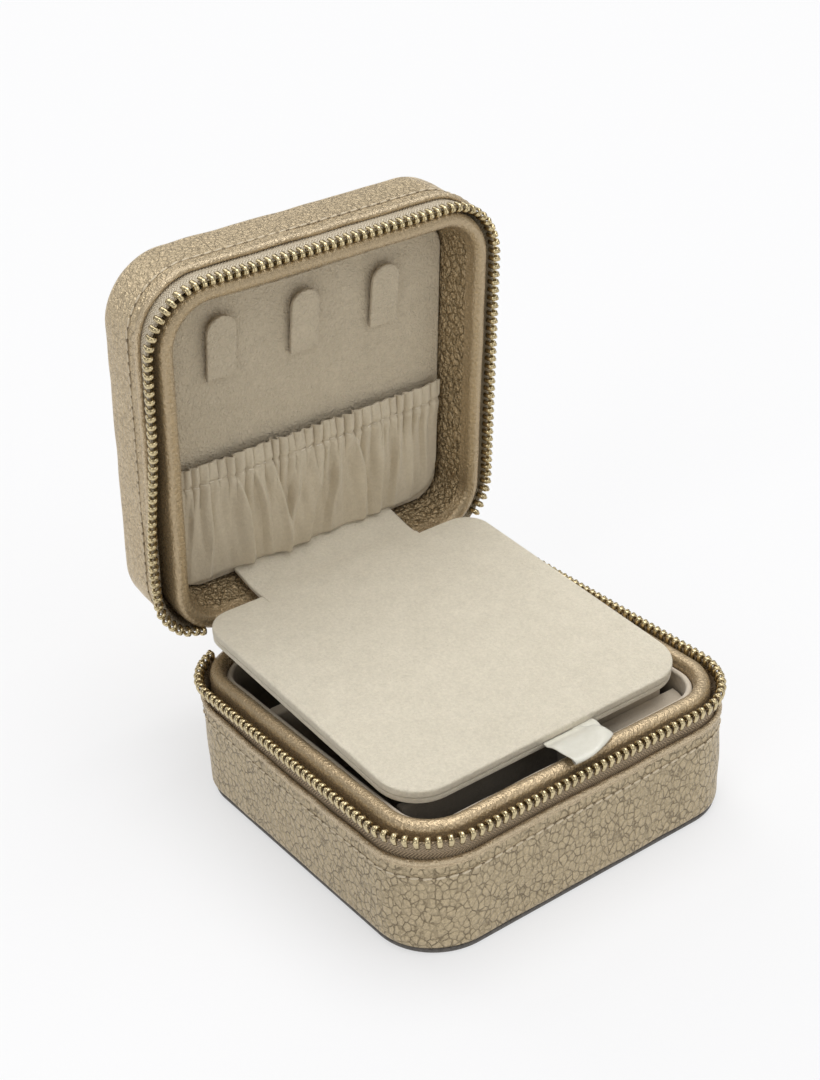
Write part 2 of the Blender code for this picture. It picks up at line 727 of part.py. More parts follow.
def main():
    clear_scene()
    build_base_shell()
    build_base_bottom_panel()
    build_base_collar()
    build_base_zip()
    build_spine_half("base_spine", BASE_EDGE + GAP, PARTING - SPINE_GAP)
    build_tray_liner()
    build_tray_dividers()
    build_front_shelf()
    build_ring_rolls()
    build_slider()
    build_pull()
    lid = pivot("lid_pivot", HINGE, radians(-LID_OPEN))
    build_lid_shell(lid)
    build_lid_rim(lid)
    build_lid_zip(lid)
    build_spine_half("lid_spine", SPINE_GAP, LID_EDGE - GAP, lid, -HALF)
    build_lining_panel(lid)
    build_pocket(lid)
    build_necklace_straps(lid)
    build_flap_tab(lid)
    crease_spot = HINGE + Matrix.Rotation(radians(-LID_OPEN), 3, "X") @ CREASE
    crease = pivot("flap_pivot", crease_spot, radians(FLAP_TILT))
    build_flap_crease(crease)
    build_flap(crease)
    build_ribbon(crease)


main()
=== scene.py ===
"""Looks of the travel jewelry case: leather, suede, zip teeth, stitching, pocket, ribbon, floor and light."""
import json
import random
from functools import partial
from math import ceil, cos, exp, pi, radians, sin

import bmesh
import bpy
import numpy as np
from mathutils import Matrix, Vector, noise


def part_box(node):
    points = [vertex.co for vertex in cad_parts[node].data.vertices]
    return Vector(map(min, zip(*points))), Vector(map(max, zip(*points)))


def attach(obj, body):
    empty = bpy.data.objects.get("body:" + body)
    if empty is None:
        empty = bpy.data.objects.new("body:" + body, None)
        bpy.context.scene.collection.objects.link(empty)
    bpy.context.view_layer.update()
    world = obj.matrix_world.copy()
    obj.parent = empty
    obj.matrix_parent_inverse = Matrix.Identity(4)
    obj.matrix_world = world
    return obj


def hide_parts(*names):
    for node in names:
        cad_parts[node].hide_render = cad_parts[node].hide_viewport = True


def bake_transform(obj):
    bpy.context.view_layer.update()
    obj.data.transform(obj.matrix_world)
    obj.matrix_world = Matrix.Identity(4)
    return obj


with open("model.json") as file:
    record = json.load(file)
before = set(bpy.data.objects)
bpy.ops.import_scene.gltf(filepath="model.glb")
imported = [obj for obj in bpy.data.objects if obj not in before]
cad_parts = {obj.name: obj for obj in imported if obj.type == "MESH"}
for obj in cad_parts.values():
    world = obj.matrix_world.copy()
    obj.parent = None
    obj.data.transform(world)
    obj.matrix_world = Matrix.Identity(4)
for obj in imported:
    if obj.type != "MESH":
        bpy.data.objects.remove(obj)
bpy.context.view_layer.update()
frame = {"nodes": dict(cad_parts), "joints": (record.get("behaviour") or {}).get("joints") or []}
MM = 0.001
random.seed(7)

# Driving sizes, in millimetres, as the frame was designed
HALF = 51.0
CORNER = 17.0
BASE_EDGE = 28.3
LID_EDGE = 6.6
LID_BACK = 24.9
LID_OPEN = 84.0
FLAP_TILT = 5.1
ROLL_HEIGHT = 2.1
STITCH_DROP = 5.0
STITCH_PITCH = 3.0
CHAIN_HALF = 49.9
ZIP_END = 64.0
CHAIN_END_BASE = 32.0
CHAIN_END_LID = 46.0
PANEL_FRONT = 11.8
ROLLS = 5
BASE_TAPE_SPAN = (25.2, 33.3)
LID_TAPE_SPAN = (1.8, 9.8)
BASE_TOOTH_ROOT = 32.3
LID_TOOTH_ROOT = 2.7
TOOTH_PITCH = 2.25
TOOTH_HEIGHT_SHARE = 0.95

joints = {joint["name"]: joint for joint in frame["joints"]}
hinge = Vector(joints["lid_hinge"]["pos_m"])
crease = Vector(joints["flap_lift"]["pos_m"])
SCALE = Matrix.Scale(MM, 4)
BASE_FRAME = SCALE
LID_FRAME = (
    Matrix.Translation(hinge) @ Matrix.Rotation(radians(-LID_OPEN), 4, "X")
    @ SCALE @ Matrix.Translation((0.0, -HALF, 0.0))
)
FLAP_FRAME = Matrix.Translation(crease) @ Matrix.Rotation(radians(FLAP_TILT), 4, "X") @ SCALE


# ---- mesh helpers ----

def new_object(name, verts, faces, matrix, mat, uv=None):
    """Smooth-shaded object from vertices in millimetres of a local frame."""
    mesh = bpy.data.meshes.new(name)
    mesh.from_pydata([tuple(v) for v in verts], [], [tuple(f) for f in faces])
    mesh.transform(matrix)
    mesh.materials.append(mat)
    if uv is not None:
        layer = mesh.uv_layers.new(name="UVMap")
        index = np.empty(len(mesh.loops), np.int32)
        mesh.loops.foreach_get("vertex_index", index)
        layer.data.foreach_set("uv", np.asarray(uv, np.float32)[index].ravel())
    obj = show(bpy.data.objects.new(name, mesh))
    bm = bmesh.new()
    bm.from_mesh(mesh)
    bmesh.ops.recalc_face_normals(bm, faces=bm.faces)
    bm.to_mesh(mesh)
    bm.free()
    mesh.shade_smooth()
    return obj


def show(obj):
    bpy.context.scene.collection.objects.link(obj)
    return obj


def at_height(points, height):
    return np.c_[points, np.full(len(points), height)]


def corner_radius(half):
    return CORNER - (HALF - half)


def outline(half, radius, corner_steps=34, flat_steps=80):
    """Rounded square as points and outward normals, with the same count at any size."""
    flat = half - radius
    points, normals = [], []
    for quarter in range(4):
        start = radians(90 * quarter)
        cx = flat * (1 if quarter in (0, 3) else -1)
        cy = flat * (1 if quarter in (0, 1) else -1)
        for i in range(corner_steps):
            angle = start + radians(90 * i / corner_steps)
            points.append((cx + radius * cos(angle), cy + radius * sin(angle)))
            normals.append((cos(angle), sin(angle)))
        angle = start + radians(90)
        px, py = cx + radius * cos(angle), cy + radius * sin(angle)
        for i in range(flat_steps):
            step = 2 * flat * i / flat_steps
            points.append((px - sin(angle) * step, py + cos(angle) * step))
            normals.append((cos(angle), sin(angle)))
    return np.array(points), np.array(normals)


def ring_faces(rings, count, closed=False):
    """Quads between neighbouring rings; closed also joins the last ring to the first."""
    faces = []
    last = rings if closed else rings - 1
    for r in range(last):
        a, b = r * count, ((r + 1) % rings) * count
        for i in range(count):
            j = (i + 1) % count
            faces.append((a + i, a + j, b + j, b + i))
    return faces


def tube_faces(rings, count):
    """Faces of a tube of rings, with a cap at each end."""
    last = (rings - 1) * count
    return ring_faces(rings, count) + [tuple(range(count)), tuple(range(last, last + count))]


def grid_faces(rows, columns):
    return [
        (r * columns + i, r * columns + i + 1, (r + 1) * columns + i + 1, (r + 1) * columns + i)
        for r in range(rows - 1) for i in range(columns - 1)
    ]


def mount(obj, body, slot, *nodes):
    """Puts a piece on a body, in place of the CAD solids that it stands for. The slot is not used."""
    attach(obj, body)
    if nodes:
        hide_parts(*nodes)


def wobble(points, size, amount, seed):
    """Soft uneven heights, one for each point, from noise with features of about the given size."""
    shift = Vector((seed * 13.7, seed * 5.1, seed * 9.3))
    return np.array([noise.noise(Vector(p) / size + shift) for p in points]) * amount


def loft(name, section, matrix, mat, closed=False, ripple=0.0, grain=9.0, seed=1):
    """Skin rounded squares along a section of (half width, height), gently uneven."""
    rows = []
    for half, height in section:
        points, _ = outline(half, corner_radius(half))
        rows.append(at_height(points, height))
    count = len(rows[0])
    verts = np.concatenate(rows)
    if ripple:
        outward = np.tile(outline(HALF, CORNER)[1], (len(rows), 1))
        push = wobble(verts, grain, ripple, seed)
        verts[:, :2] += outward * push[:, None]
    faces = ring_faces(len(rows), count, True) if closed else tube_faces(len(rows), count)
    return new_object(name, verts, faces, matrix, mat)


def arc(ca, cb, radius, start, end, steps):
    angles = np.radians(np.linspace(start, end, steps + 1))
    return [(ca + radius * cos(t), cb + radius * sin(t)) for t in angles]


def even(section, step):
    """Insert points so that no stretch of a section is longer than a step."""
    result = [section[0]]
    for a, b in zip(section, section[1:]):
        count = max(1, ceil(((b[0] - a[0]) ** 2 + (b[1] - a[1]) ** 2) ** 0.5 / step))
        for i in range(1, count + 1):
            result.append((a[0] + (b[0] - a[0]) * i / count, a[1] + (b[1] - a[1]) * i / count))
    return result


def rail(half, end_left, end_right, step=0.5):
    """Points, outward normals and distances along the zip's path, left rear round to right rear."""
    radius = corner_radius(half)
    flat = half - radius
    pieces = [
        ((-flat, flat), 180.0 - end_left, 180.0), ((-half, flat), (-half, -flat)),
        ((-flat, -flat), 180.0, 270.0), ((-flat, -half), (flat, -half)),
        ((flat, -flat), 270.0, 360.0), ((half, -flat), (half, flat)),
        ((flat, flat), 0.0, end_right),
    ]
    points, normals = [], []
    for piece in pieces:
        if len(piece) == 3:
            count = max(2, int(radius * radians(piece[2] - piece[1]) / step))
            for i in range(count):
                angle = radians(piece[1] + (piece[2] - piece[1]) * i / count)
                points.append((piece[0][0] + radius * cos(angle), piece[0][1] + radius * sin(angle)))
                normals.append((cos(angle), sin(angle)))
        else:
            start, end = np.array(piece[0]), np.array(piece[1])
            along = end - start
            length = np.linalg.norm(along)
            count = max(2, int(length / step))
            for i in range(count):
                points.append(tuple(start + along * i / count))
                normals.append((along[1] / length, -along[0] / length))
    points, normals = np.array(points), np.array(normals)
    distance = np.r_[0.0, np.cumsum(np.linalg.norm(np.diff(points, axis=0), axis=1))]
    return points, normals, distance


# ---- materials ----

class Nodes:
    """Small helper that builds a Principled material's node tree."""

    def __init__(self, name, colour, roughness, metallic=0.0, constants=None):
        self.mat = bpy.data.materials.new(name)
        self.mat.use_nodes = True
        self.tree = self.mat.node_tree
        self.shader = self.tree.nodes["Principled BSDF"]
        self.fill(self.shader, {"Base Color": (*colour, 1.0), "Roughness": roughness, "Metallic": metallic})
        self.fill(self.shader, constants or {})
        coordinates = self.add("ShaderNodeTexCoord")
        self.place, self.uv = coordinates.outputs["Object"], coordinates.outputs["UV"]

    def fill(self, node, values):
        for key, value in values.items():
            node.inputs[key].default_value = value

    def add(self, kind, values=None, **settings):
        """Adds a node with its settings, and with constants for its inputs by name."""
        node = self.tree.nodes.new(kind)
        for key, value in settings.items():
            setattr(node, key, value)
        self.fill(node, values or {})
        return node

    def link(self, source, target):
        self.tree.links.new(source, target)

    def split(self, place):
        node = self.add("ShaderNodeSeparateXYZ")
        self.link(place, node.inputs[0])
        return node.outputs

    def noise(self, scale, detail=3.0, roughness=0.55, place=None):
        node = self.add("ShaderNodeTexNoise", {"Scale": scale, "Detail": detail, "Roughness": roughness})
        self.link(place or self.place, node.inputs["Vector"])
        return node.outputs["Fac"]

    def warped(self, scale, amount, place=None):
        """Coordinates pushed about by noise, so that cells look grown and not drawn."""
        node = self.add("ShaderNodeTexNoise", {"Scale": scale})
        self.link(self.place, node.inputs["Vector"])
        shift = self.add("ShaderNodeVectorMath", operation="MULTIPLY_ADD")
        self.link(node.outputs["Color"], shift.inputs[0])
        shift.inputs[1].default_value = (amount, amount, amount)
        self.link(place or self.place, shift.inputs[2])
        return shift.outputs["Vector"]

    def voronoi(self, scale, place, feature="DISTANCE_TO_EDGE"):
        node = self.add("ShaderNodeTexVoronoi", {"Scale": scale}, feature=feature)
        self.link(place, node.inputs["Vector"])
        return node.outputs["Distance"]

    def ramp(self, value, low, high, out_low=0.0, out_high=1.0, blend="LINEAR"):
        values = {"From Min": low, "From Max": high, "To Min": out_low, "To Max": out_high}
        node = self.add("ShaderNodeMapRange", values, interpolation_type=blend)
        self.link(value, node.inputs["Value"])
        return node.outputs["Result"]

    def math(self, operation, a, b):
        node = self.add("ShaderNodeMath", operation=operation)
        for socket, value in zip(node.inputs, (a, b)):
            if isinstance(value, (int, float)):
                socket.default_value = value
            else:
                self.link(value, socket)
        return node.outputs["Value"]

    def plus(self, a, b):
        return self.math("ADD", a, b)

    def times(self, a, b):
        return self.math("MULTIPLY", a, b)

    def mix(self, factor, a, b):
        node = self.add("ShaderNodeMix", data_type="RGBA")
        self.link(factor, node.inputs[0])
        for socket, value in ((node.inputs[6], a), (node.inputs[7], b)):
            if isinstance(value, tuple):
                socket.default_value = (*value, 1.0)
            else:
                self.link(value, socket)
        return node.outputs[2]

    def bump(self, height, strength, distance, normal=None):
        node = self.add("ShaderNodeBump", {"Strength": strength, "Distance": distance})
        self.link(height, node.inputs["Height"])
        if normal is not None:
            self.link(normal, node.inputs["Normal"])
        return node.outputs["Normal"]

    def with_painted_shadow(self, colour, axis, low, high, share):
        """A colour with painted shadow: darkened towards one end, between two places in metres along an axis.
        """
        node = self.add("ShaderNodeVectorMath", operation="SCALE")
        self.link(colour, node.inputs[0])
        light = self.ramp(self.split(self.place)[axis], low, high, share, 1.0, "SMOOTHSTEP")
        self.link(light, node.inputs["Scale"])
        return node.outputs["Vector"]

    def colour(self, value):
        self.link(value, self.shader.inputs["Base Color"])

    def normal(self, value):
        self.link(value, self.shader.inputs["Normal"])

    def rough(self, value):
        self.link(value, self.shader.inputs["Roughness"])


def leather_material(name, light, dark, cell, relief, metallic, roughness, crease=1.0, sparkle=0.5):
    """Pebbled metallic leather: uneven domed cells, thin soft creases that come and go, glossier specks that
    are also painted lighter as glints.
    """
    n = Nodes(name, light, roughness, metallic, {"Specular IOR Level": 0.6})
    place = n.warped(1300.0, 0.0003, n.warped(520.0, 0.0010))
    stretch = n.add("ShaderNodeMapping", {"Scale": (1.0, 1.0, 0.78)})
    n.link(place, stretch.inputs["Vector"])
    place = stretch.outputs["Vector"]
    cells = n.voronoi(1.0 / cell, place)
    centres = n.voronoi(1.0 / cell, place, "F1")
    small = n.voronoi(2.1 / cell, place, "F1")
    fade = n.noise(420.0, 3.0)
    patch = n.noise(60.0, 2.0)
    fine = n.noise(1500.0, 3.0, 0.75)
    reach = n.times(n.ramp(centres, 0.25, 0.6, 0.3, 1.0), n.ramp(fade, 0.36, 0.54, 0.45, 1.0))
    major = n.times(n.ramp(cells, 0.0, 0.13, 1.0, 0.0), reach)
    minor = n.times(n.ramp(small, 0.5, 0.85, 0.0, 0.4), n.ramp(fade, 0.42, 0.6, 1.0, 0.1))
    lines = n.times(n.math("MAXIMUM", major, minor), crease)
    dome = n.ramp(centres, 0.1, 0.75, 1.0, 0.0)
    lump = n.ramp(small, 0.1, 0.8, 1.0, 0.0)
    height = n.plus(n.times(dome, 0.6), n.times(lump, 0.5))
    height = n.plus(height, n.times(fine, sparkle))
    height = n.math("SUBTRACT", height, n.times(lines, 0.5))
    # Painted glints: where the fine noise makes the leather glossier, its colour is also lighter.
    glow = tuple(min(1.0, c * 1.2) for c in light)
    tone = n.mix(n.ramp(patch, 0.3, 0.7), tuple(c * 0.94 for c in light), light)
    n.colour(n.mix(lines, n.mix(n.ramp(fine, 0.42, 0.66), tone, glow), dark))
    n.rough(n.ramp(fine, 0.3, 0.7, roughness + 0.12, roughness - 0.14))
    n.normal(n.bump(height, relief, 0.0006))
    return n.mat


def suede_material(name, light, dark, crinkle, fine=0.35, cell=0.0011, painted_shadow=None):
    """Microsuede: short matt nap, soft mottling, fine crinkled grain; a painted shadow, if given, darkens it
    towards one end.
    """
    gloss = {"Sheen Weight": 0.2, "Sheen Roughness": 0.5, "Specular IOR Level": 0.25}
    n = Nodes(name, light, 0.92, 0.0, gloss)
    mottle = n.noise(150.0, 5.0, 0.6)
    nap = n.noise(1250.0, 5.0, 0.85)
    folds = n.noise(0.7 / cell, 3.0, 0.6, n.warped(500.0, 0.0012))
    wrinkles = n.voronoi(1.0 / cell, n.warped(900.0, 0.0009, n.warped(260.0, 0.002)))
    height = n.plus(folds, n.times(n.ramp(wrinkles, 0.0, 0.4), 0.4))
    blend = n.plus(n.ramp(mottle, 0.3, 0.7, 0.0, 0.3), n.ramp(nap, 0.4, 0.6, 0.0, 0.5))
    blend = n.plus(blend, n.ramp(folds, 0.35, 0.65, 0.0, 0.2))
    colour = n.mix(blend, dark, light)
    # Painted shadow, if given: the colour darkens towards one end.
    n.colour(n.with_painted_shadow(colour, *painted_shadow) if painted_shadow else colour)
    rough = n.bump(nap, fine, 0.00045)
    n.normal(n.bump(height, crinkle, 0.0008, rough))
    return n.mat


def metal_material(name, colour, roughness):
    n = Nodes(name, colour, roughness, 1.0)
    wear = n.noise(900.0, 3.0)
    n.rough(n.ramp(wear, 0.3, 0.7, roughness - 0.06, roughness + 0.1))
    dull = tuple(c * 0.72 for c in colour)
    n.colour(n.mix(n.ramp(wear, 0.35, 0.65), dull, colour))
    n.normal(n.bump(n.noise(1800.0, 2.0), 0.12, 0.0001))
    return n.mat


def tape_material(name, light, dark):
    """Herringbone tape: diagonal ribs that turn back on each other, from UVs in millimetres."""
    n = Nodes(name, light, 0.55, 0.0, {"Sheen Weight": 0.05})
    along, across, _ = n.split(n.uv)
    zigzag = n.math("PINGPONG", across, 1.3)
    phase = n.times(n.plus(along, zigzag), 2 * pi / 0.85)
    ribs = n.ramp(n.math("SINE", phase, 0.0), -0.8, 0.8)
    yarn = n.noise(3000.0, 2.0)
    blend = n.plus(n.times(ribs, 0.75), n.times(yarn, 0.35))
    n.colour(n.mix(blend, dark, light))
    n.normal(n.bump(ribs, 1.0, 0.0003))
    return n.mat


def satin_material(name, light, dark):
    """Satin weave: close lengthwise threads with a soft directional gloss."""
    n = Nodes(name, light, 0.26, 0.0, {
        "Specular IOR Level": 0.8, "Anisotropic": 0.6, "Sheen Weight": 0.3,
        "Subsurface Weight": 0.1, "Subsurface Radius": (0.001, 0.001, 0.0008),
    })
    across = n.split(n.uv)[0]
    threads = n.ramp(n.math("SINE", n.times(across, 2 * pi / 0.28), 0.0), -1.0, 1.0)
    n.colour(n.mix(n.plus(n.times(threads, 0.5), n.noise(500.0)), dark, light))
    n.normal(n.bump(threads, 0.25, 0.00008))
    return n.mat


def thread_material(name, light, dark):
    n = Nodes(name, light, 0.6)
    n.colour(n.mix(n.noise(4000.0, 2.0), dark, light))
    n.normal(n.bump(n.noise(5200.0, 1.0), 0.4, 0.0001))
    return n.mat


# Leathers: light and dark colour, cell size in metres, relief, metallic, roughness, creases, sparkle
LEATHER, RIM_PAINTED_SHADE, LID_LEATHER_PAINTED_LIGHT, EDGE_LEATHER, WALL_LEATHER_PAINTED_SHADE, SMOOTH = (leather_material(*look) for look in (
    ("pebbled_leather", (0.535, 0.43, 0.27), (0.20, 0.15, 0.082), 0.0017, 0.85, 0.38, 0.38, 1.0, 0.6),
    # Darker copy of the smooth leather for the lid's rim: painted shade.
    ("lid_rim_leather_painted_shade", (0.41, 0.315, 0.19), (0.26, 0.19, 0.11), 0.0010, 0.3, 0.6, 0.28, 0.15, 0.8),
    # Lighter copy of the pebbled leather for the lid's outside: painted light.
    ("lid_leather_painted_light", (0.64, 0.51, 0.325), (0.28, 0.21, 0.12), 0.0014, 1.0, 0.65, 0.34, 0.6, 1.0),
    ("rolled_edge_leather", (0.60, 0.48, 0.315), (0.30, 0.225, 0.13), 0.0010, 0.5, 0.55, 0.26, 0.35, 1.0),
    # Darker copy of the pebbled leather for the lid's inner wall: painted shade.
    ("lid_wall_leather_painted_shade", (0.46, 0.35, 0.205), (0.20, 0.145, 0.075), 0.0017, 1.0, 0.7, 0.26, 0.8, 0.7),
    ("smooth_leather", (0.47, 0.36, 0.22), (0.28, 0.205, 0.12), 0.0010, 0.3, 0.6, 0.27, 0.15, 0.9),
))
BOARD = leather_material("base_backing", (0.115, 0.105, 0.095), (0.07, 0.063, 0.056), 0.0015, 0.3, 0.0, 0.6)
# Suedes: light and dark colour, crinkle, fineness of the nap; then the painted shadow's axis, ends and
# darkest share
LINING = suede_material("lining_suede", (0.62, 0.53, 0.39), (0.50, 0.425, 0.305), 0.75, 0.3, 0.0011)
TRAY = suede_material("tray_suede", (0.62, 0.54, 0.43), (0.52, 0.45, 0.35), 0.15)
# Painted shadow from under the flap at rest, the same in every pose: the liner keeps 38 percent of its colour
# below 24 mm high, the shelf 30 percent at its left end.
LINER_PAINTED_SHADOW, SHELF_PAINTED_SHADOW = (2, 0.024, 0.032, 0.38), (0, -0.002, 0.036, 0.30)
LINER = suede_material("liner_suede_painted_shadow", (0.66, 0.58, 0.47), (0.56, 0.49, 0.39), 0.15, painted_shadow=LINER_PAINTED_SHADOW)
SHELF = suede_material("shelf_suede_painted_shadow", (0.62, 0.54, 0.43), (0.52, 0.45, 0.35), 0.15, painted_shadow=SHELF_PAINTED_SHADOW)
FLAP = suede_material("flap_suede", (0.90, 0.825, 0.67), (0.71, 0.645, 0.51), 0.25, 1.0, 0.0010)
POCKET = suede_material("pocket_suede", (0.61, 0.53, 0.395), (0.51, 0.44, 0.325), 0.2, 0.25)
METAL = metal_material("zip_metal", (0.68, 0.565, 0.34), 0.2)
# One zip tape in two colours: the base's copy darker as painted shade, the lid's copy lighter as painted
# light.
BASE_TAPE_PAINTED_SHADE = tape_material("zip_tape", (0.56, 0.42, 0.26), (0.15, 0.105, 0.06))
LID_TAPE_PAINTED_LIGHT = tape_material("lid_zip_tape_painted_light", (0.86, 0.76, 0.58), (0.46, 0.37, 0.25))
SATIN = satin_material("satin_ribbon", (0.74, 0.72, 0.63), (0.60, 0.575, 0.475))
# Dark spindles sunk between the stitches: painted shade in the needle holes.
STITCH_HOLE_SHADOW = thread_material("stitch_hole", (0.24, 0.18, 0.11), (0.16, 0.12, 0.07))
THREAD = thread_material("thread", (0.78, 0.68, 0.51), (0.50, 0.41, 0.28))
PALE_THREAD = thread_material("pale_thread", (0.76, 0.69, 0.57), (0.62, 0.55, 0.43))
# Dark suede for the gap between the flap's pads: painted shadow.
SEAM_SHADOW = suede_material("seam_shadow", (0.20, 0.17, 0.13), (0.14, 0.12, 0.09), 0.1)

# ---- leather shells and stitching ----

def shell_section(edge, back, floor, rounding):
    """Cup section from inside the floor, over the rolled and stitched edge, to the outer face."""
    sign = 1.0 if edge > back else -1.0
    bead, bead_half = 0.74, 50.86
    stitch = edge - sign * STITCH_DROP
    section = [(48.4, floor), (48.4, edge - sign * 3.6)]
    section += [(50.1, edge - sign * 3.5), (50.12, edge - sign * 1.6)]
    section += [(h, edge + sign * (v - bead)) for h, v in arc(bead_half, 0.0, bead, 180.0, -35.0, 14)]
    section += [(51.08, edge - sign * 1.75), (51.0, edge - sign * 2.2), (51.12, edge - sign * 2.9)]
    section += [(51.1, stitch + sign * 0.8), (50.84, stitch), (51.04, stitch - sign * 0.8)]
    middle = (stitch + back) / 2
    section += even([(51.05, stitch - sign * 1.5), (51.14, middle), (HALF, back + sign * rounding)], 2.0)
    section += [
        (HALF - rounding + h, back + sign * (rounding - v)) for h, v in arc(0.0, 0.0, rounding, 0.0, 90.0, 8)
    ][1:]
    return section


# How far the leather's edge drops below its full height, at angles round the case from the right
EDGE_DROP = (
    (-180, -165, -135, -105, -78, -60, -30, 0, 90, 140, 165, 180),
    (1.7, 1.7, 1.1, 0.25, 0.75, 0.3, 0.15, 0.1, 0.0, 0.0, 1.3, 1.7),
)


def edge_wave(spots, amount):
    """How far the leather's edge strays along the case, so that the gap to the zip varies."""
    spots = np.asarray(spots)
    angle = np.degrees(np.arctan2(spots[:, 1], spots[:, 0]))
    return -np.interp(angle, *EDGE_DROP) * amount


def paint_faces(obj, matrix, mat, test):
    """Gives a second material to the faces whose middle, in local millimetres, passes a test."""
    obj.data.materials.append(mat)
    inverse = matrix.inverted()
    for face in obj.data.polygons:
        if test(inverse @ face.center):
            face.material_index = 1


def pleat_edge(obj, matrix, edge, sign, wave, seed):
    """Waves the rolled edge gently and gives it small cross pleats."""
    mesh = obj.data
    inverse = matrix.inverted()
    spots = np.array([inverse @ vert.co for vert in mesh.vertices])
    outer = np.maximum(np.abs(spots[:, 0]), np.abs(spots[:, 1])) > 44.0
    near = np.clip((7.5 - np.abs(spots[:, 2] - edge)) / 2.0, 0.0, 1.0) * outer
    roll = np.clip(1.0 - np.abs(spots[:, 2] - edge + sign * 0.7) / 1.3, 0.0, 1.0)
    shift = edge_wave(spots, wave) * near
    fine = wobble(spots * (1.0, 1.0, 0.2), 0.9, 0.2, seed) * roll
    middle = np.maximum(np.hypot(spots[:, 0], spots[:, 1]), 1.0)
    spots[:, 2] += shift
    spots[:, 0] += fine * spots[:, 0] / middle
    spots[:, 1] += fine * spots[:, 1] / middle
    for vert, spot in zip(mesh.vertices, spots):
        vert.co = matrix @ Vector(spot)


def build_shells():
    section = shell_section(BASE_EDGE, back=1.0, floor=3.0, rounding=2.0)
    base = loft("base_leather", section, BASE_FRAME, LEATHER, ripple=0.24, seed=3)
    paint_faces(base, BASE_FRAME, EDGE_LEATHER, lambda spot: spot.z > BASE_EDGE - ROLL_HEIGHT)
    pleat_edge(base, BASE_FRAME, BASE_EDGE, sign=1.0, wave=1.0, seed=4)
    mount(base, "base", "leather", "base_shell")
    section = shell_section(-LID_EDGE, back=-LID_BACK, floor=-LID_BACK + 1.8, rounding=4.0)
    section = [(half, -height) for half, height in section]
    # The lid's outside wears the lighter copy of the leather: painted light.
    lid = loft("lid_leather_painted_light", section, LID_FRAME, LID_LEATHER_PAINTED_LIGHT, ripple=0.28, seed=5)
    paint_faces(lid, LID_FRAME, EDGE_LEATHER, lambda spot: spot.z < LID_EDGE + ROLL_HEIGHT)
    pleat_edge(lid, LID_FRAME, LID_EDGE, sign=-1.0, wave=0.0, seed=6)
    mount(lid, "lid", "leather", "lid_shell")
    section = [(49.4, 0.0), (50.1, 0.0), (50.3, 0.25), (50.3, 1.0), (49.9, 1.2), (49.0, 1.25)]
    board = loft("base_bottom_board", section, BASE_FRAME, BOARD)
    mount(board, "base", "smooth_leather", "base_bottom_panel")


def stitch_shape(length, radius):
    """One stitch: a short spindle along +X."""
    verts, sides = [], 8
    stations = [(-0.5, 0.25), (-0.42, 0.75), (-0.2, 1.0), (0.2, 1.0), (0.42, 0.75), (0.5, 0.25)]
    for along, swell in stations:
        for k in range(sides):
            angle = 2 * pi * k / sides
            verts.append((along * length, swell * radius * cos(angle), swell * radius * sin(angle)))
    return np.array(verts), tube_faces(len(stations), sides)


def scatter(shape, places):
    """Copy one shape to places given as (origin, along, outward, up)."""
    verts, faces = shape
    all_verts, all_faces = [], []
    for origin, along, outward, up in places:
        base = len(all_verts) * len(verts)
        all_verts.append(origin + verts[:, :1] * along + verts[:, 1:2] * outward + verts[:, 2:3] * up)
        all_faces += [tuple(base + i for i in face) for face in faces]
    return np.concatenate(all_verts), all_faces


def rail_places(points, normals, distance, stops, height, offset, lean=None, anchor=0.0):
    """Frames at distances along a rail, for scatter(), leaning outwards from an anchor height."""
    places = []
    for stop in stops:
        x, y, nx, ny = (np.interp(stop, distance, values) for values in (*points.T, *normals.T))
        size = (nx * nx + ny * ny) ** 0.5
        outward = np.array((nx / size, ny / size, 0.0))
        along = np.array((-outward[1], outward[0], 0.0))
        up = np.array((0.0, 0.0, 1.0))
        spot = np.array((x, y, height)) + outward * offset
        if lean:
            sign = 1.0 if height > anchor else -1.0
            angle = radians(np.interp(stop, *lean))
            reach = abs(height - anchor)
            spot = np.array((x, y, anchor)) + outward * reach * sin(angle) + up * sign * reach * cos(angle)
            leaning = up * cos(angle) + outward * sign * sin(angle)
            outward = outward * cos(angle) - up * sign * sin(angle)
            up = leaning
        places.append((spot, along, outward, up))
    return places


def build_stitching():
    points, normals, distance = rail(HALF, 89.0, 89.0)
    for body, height, matrix, wave in (
        ("base", BASE_EDGE - STITCH_DROP, BASE_FRAME, 1.0), ("lid", LID_EDGE + STITCH_DROP, LID_FRAME, 0.0),
    ):
        for part, first, length, radius, mat, offset in (
            # Between the stitches sit dark spindles: painted shade in the needle holes.
            ("stitching", 1.0, 2.2, 0.30, THREAD, 0.06), ("stitch_hole_shadows", 2.5, 0.9, 0.24, STITCH_HOLE_SHADOW, -0.08),
        ):
            stops = np.arange(first, distance[-1] - 1.0, STITCH_PITCH)
            places = rail_places(points, normals, distance, stops, height, offset)
            drops = edge_wave([o for o, *_ in places], wave)
            tilted = [(o + u * d, a * 0.99 + u * 0.1, n, u) for (o, a, n, u), d in zip(places, drops)]
            verts, faces = scatter(stitch_shape(length, radius), tilted)
            obj = new_object(f"{body}_{part}", verts, faces, matrix, mat)
            mount(obj, body, "leather")


# ---- zip ----

